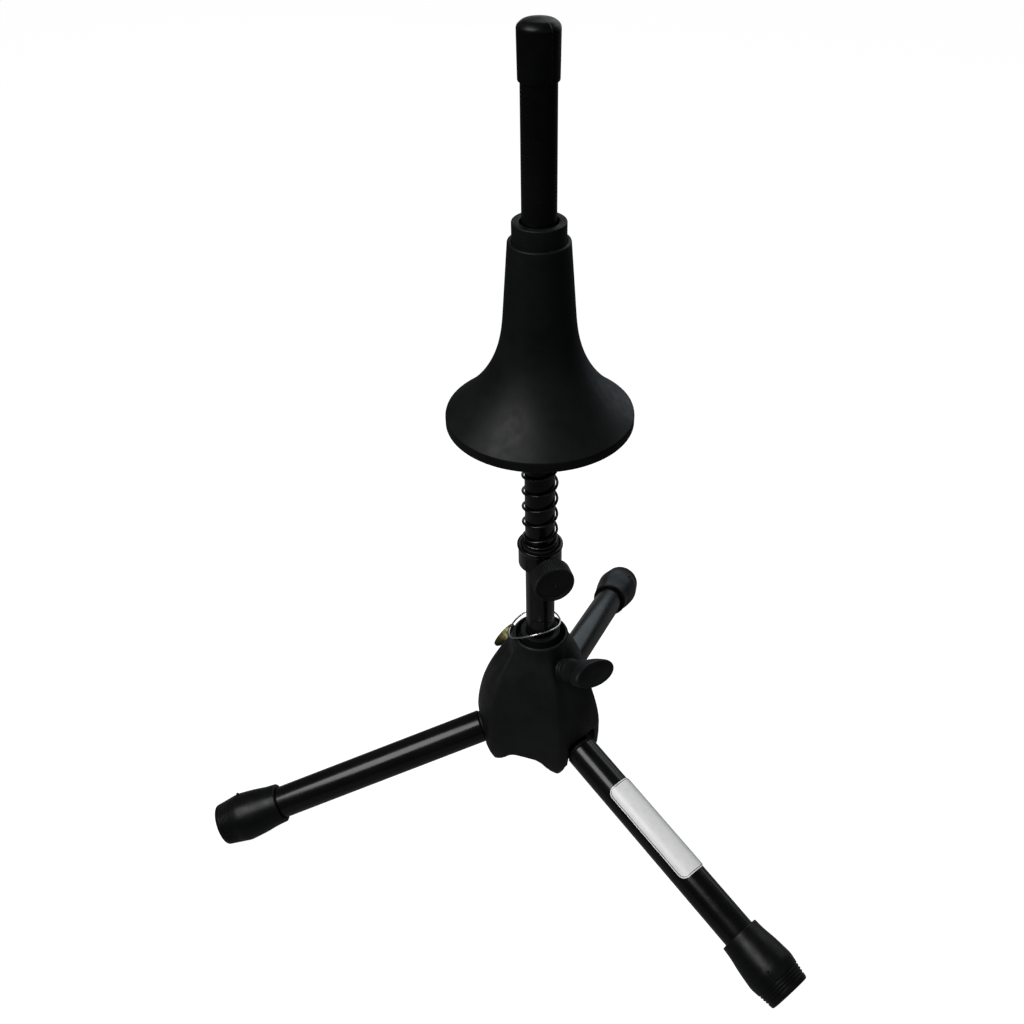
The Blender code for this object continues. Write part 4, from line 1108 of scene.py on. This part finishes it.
def stand_on_floor(mesh, matrix):
    """Press a mesh flat where it would reach below the floor."""
    back = matrix.inverted()
    for vert in mesh.vertices:
        spot = matrix @ vert.co
        if spot.z < 0:
            spot.z = 0
            vert.co = back @ spot


def foot_mesh(matrix):
    mesh = turned("foot", rounded(foot_corners(), steps=4), segments=160)
    mesh.transform(ALONG_X)
    stand_on_floor(mesh, matrix)
    return mesh


def nub_mesh():
    """Small moulding nub on a foot's widest part."""
    wide = NUB_SIZE + NUB_DRAFT
    dome = rounded([(0, -NUB_SIZE, 0), (wide, -NUB_SIZE, 0), (NUB_SIZE, NUB_SIZE, 0.0007), (0, wide, 0)])
    mesh = turned("foot_nub", dome, segments=24)
    along = Matrix.Translation((FOOT_BULGE - NUB_BACK, 0, 0))
    turn = Matrix.Rotation(math.radians(NUB_TURN), 4, "X")
    mesh.transform(along @ turn @ Matrix.Translation((0, 0, FOOT_BULGE_RADIUS)))
    return mesh


def plug_mesh(side):
    """The CAD plug with its moulded edges rounded, in the leg's frame."""
    node = frame["nodes"][f"end_plug_{side}"]
    mesh = node.data.copy()
    mesh.transform(along_leg(side).inverted())
    return carved("end_plug", mesh, [], voxel=PLUG_VOXEL)


def label_outline(inset, shrink=1.0):
    """Rounded outline of the sticker laid flat, as (along, across) from its middle."""
    half_length = LABEL_HALF_LENGTH - inset
    half_width = LABEL_HALF_WIDTH - inset
    corner = LABEL_CORNER - inset
    arcs = []
    for quarter, (sx, sy) in enumerate(((1, 1), (-1, 1), (-1, -1), (1, -1))):
        turns = [math.pi / 2 * (quarter + i / LABEL_CORNER_STEPS) for i in range(LABEL_CORNER_STEPS + 1)]
        arcs.append([Vector((sx * (half_length - corner) + corner * math.cos(turn),
                             sy * (half_width - corner) + corner * math.sin(turn))) for turn in turns])
    points = []
    for arc, next_arc in zip(arcs, arcs[1:] + arcs[:1]):
        points += arc
        points += [arc[-1].lerp(next_arc[0], i / LABEL_SIDE_STEPS) for i in range(1, LABEL_SIDE_STEPS)]
    return [point * shrink for point in points]


def label_ring(outline, radius):
    """Wrap an outline of the sticker round the leg."""
    ring = []
    for along, across in outline:
        angle = LABEL_ROLL + across / LEG_RADIUS
        ring.append((LABEL_MIDDLE + along, radius * math.sin(angle), radius * math.cos(angle)))
    return ring


def label_mesh():
    """Blank sticker with rounded corners; the thin darker line round it, painted shade along its edge,
    takes the second material.
    """
    inner = LEG_RADIUS + GAP
    outer = inner + LABEL_THICKNESS
    shrinks = [(row + 1) / LABEL_ROWS for row in range(LABEL_ROWS)]
    rings = [label_ring([(0, 0)], inner)]
    rings += [label_ring(label_outline(0.0, shrink), inner) for shrink in shrinks]
    rings += [label_ring(label_outline(inset), outer) for inset in (0.0, LABEL_SHADE_LINE[0])]
    rings += [label_ring(label_outline(LABEL_SHADE_LINE[1], shrink), outer) for shrink in reversed(shrinks)]
    rings.append(label_ring([(0, 0)], outer))
    mesh = finish_mesh(loft(rings), "label")
    for face in mesh.polygons:
        to_end = LABEL_HALF_LENGTH - abs(face.center.x - LABEL_MIDDLE)
        to_side = LABEL_HALF_WIDTH - abs(math.atan2(face.center.y, face.center.z) - LABEL_ROLL) * LEG_RADIUS
        near = [max(LABEL_CORNER - reach, 0.0) for reach in (to_end, to_side)]
        in_corner = LABEL_CORNER - math.hypot(*near)
        # faces on the painted-shade line just inside the sticker's edge
        on_shade_line = LABEL_SHADE_LINE[0] < min(to_end, to_side, in_corner) < LABEL_SHADE_LINE[1]
        on_top = math.hypot(face.center.y, face.center.z) > inner + LABEL_THICKNESS / 2
        face.material_index = 1 if on_top and on_shade_line else 0
    return mesh


def build_leg(side):
    matrix = along_leg(side)
    body = f"leg_{side}"
    tube = turned("leg_tube", tube_profile(LEG_RADIUS - TUBE_WALL, LEG_RADIUS, TUBE_START,
                                           LEG_LENGTH - FOOT_END_WALL, edge=0.0005))
    tube.transform(ALONG_X)
    place(f"leg_tube_{side}_painted", tube, "painted_steel", body, [f"leg_tube_{side}"], matrix)
    place(f"end_plug_{side}_moulding", plug_mesh(side), "hub_plastic", body, [f"end_plug_{side}"], matrix)
    place(f"foot_{side}_rubber", foot_mesh(matrix), "rubber", body, [f"foot_{side}"], matrix)
    place(f"foot_{side}_nub", nub_mesh(), "rubber", body, [], matrix)


def build_label():
    place("label_sticker", label_mesh(), "label_film", "leg_right", ["label"], along_leg("right"),
          ["label_film", "label_edge_shade"])


# ------ studio

def build_floor():
    bm = bmesh.new()
    bmesh.ops.create_grid(bm, x_segments=1, y_segments=1, size=FLOOR_HALF)
    floor = add_object("studio_floor", finish_mesh(bm, "studio_floor"))
    floor.location.z = -FLOOR_DROP
    floor.data.materials.append(MATERIALS["studio_floor"])


def area_light(name, spot, size, power, color=(1.0, 1.0, 1.0)):
    light = bpy.data.lights.new(name, "AREA")
    light.shape = "RECTANGLE"
    light.size, light.size_y = size
    light.energy = power
    light.color = color
    obj = add_object(name, light)
    obj.location = POST + Vector(spot)
    obj.rotation_euler = (POST + LIGHTS_AIM - obj.location).to_track_quat("-Z", "Y").to_euler()


def build_lights():
    for light in LIGHTS:
        area_light(*light)
    world = bpy.data.worlds.new("studio")
    world.use_nodes = True
    sky = world.node_tree.nodes["Background"]
    sky.inputs["Color"].default_value = (1.0, 1.0, 1.0, 1.0)
    world.node_tree.links.new(seen_and_cast(world.node_tree, 1.0, 0.08), sky.inputs["Strength"])
    bpy.context.scene.world = world


def build_camera():
    camera = add_object("camera", bpy.data.cameras.new("camera"))
    camera.data.lens = CAMERA_LENS
    turn = Matrix.Rotation(CAMERA_TURN, 4, "Z")
    pitch = Matrix.Rotation(math.pi / 2 - CAMERA_PITCH, 4, "X")
    roll = Matrix.Rotation(CAMERA_ROLL, 4, "Z")
    camera.matrix_world = Matrix.Translation(POST + CAMERA_FROM_POST) @ turn @ pitch @ roll
    bpy.context.scene.camera = camera
    bpy.context.scene.view_settings.view_transform = "Standard"


build_camera()
build_hub()
build_socket_sleeve()
build_hub_fittings()
build_tag_loop()
build_wing("front_wing", FRONT_WING, "hub_plastic")
build_wing("rear_wing", REAR_WING, "dull_brass")
build_thumbscrew()
build_collar()
build_bell()
build_spring()
build_post()
for leg_side in LEG_AZIMUTHS:
    build_leg(leg_side)
build_label()
build_floor()
build_lights()
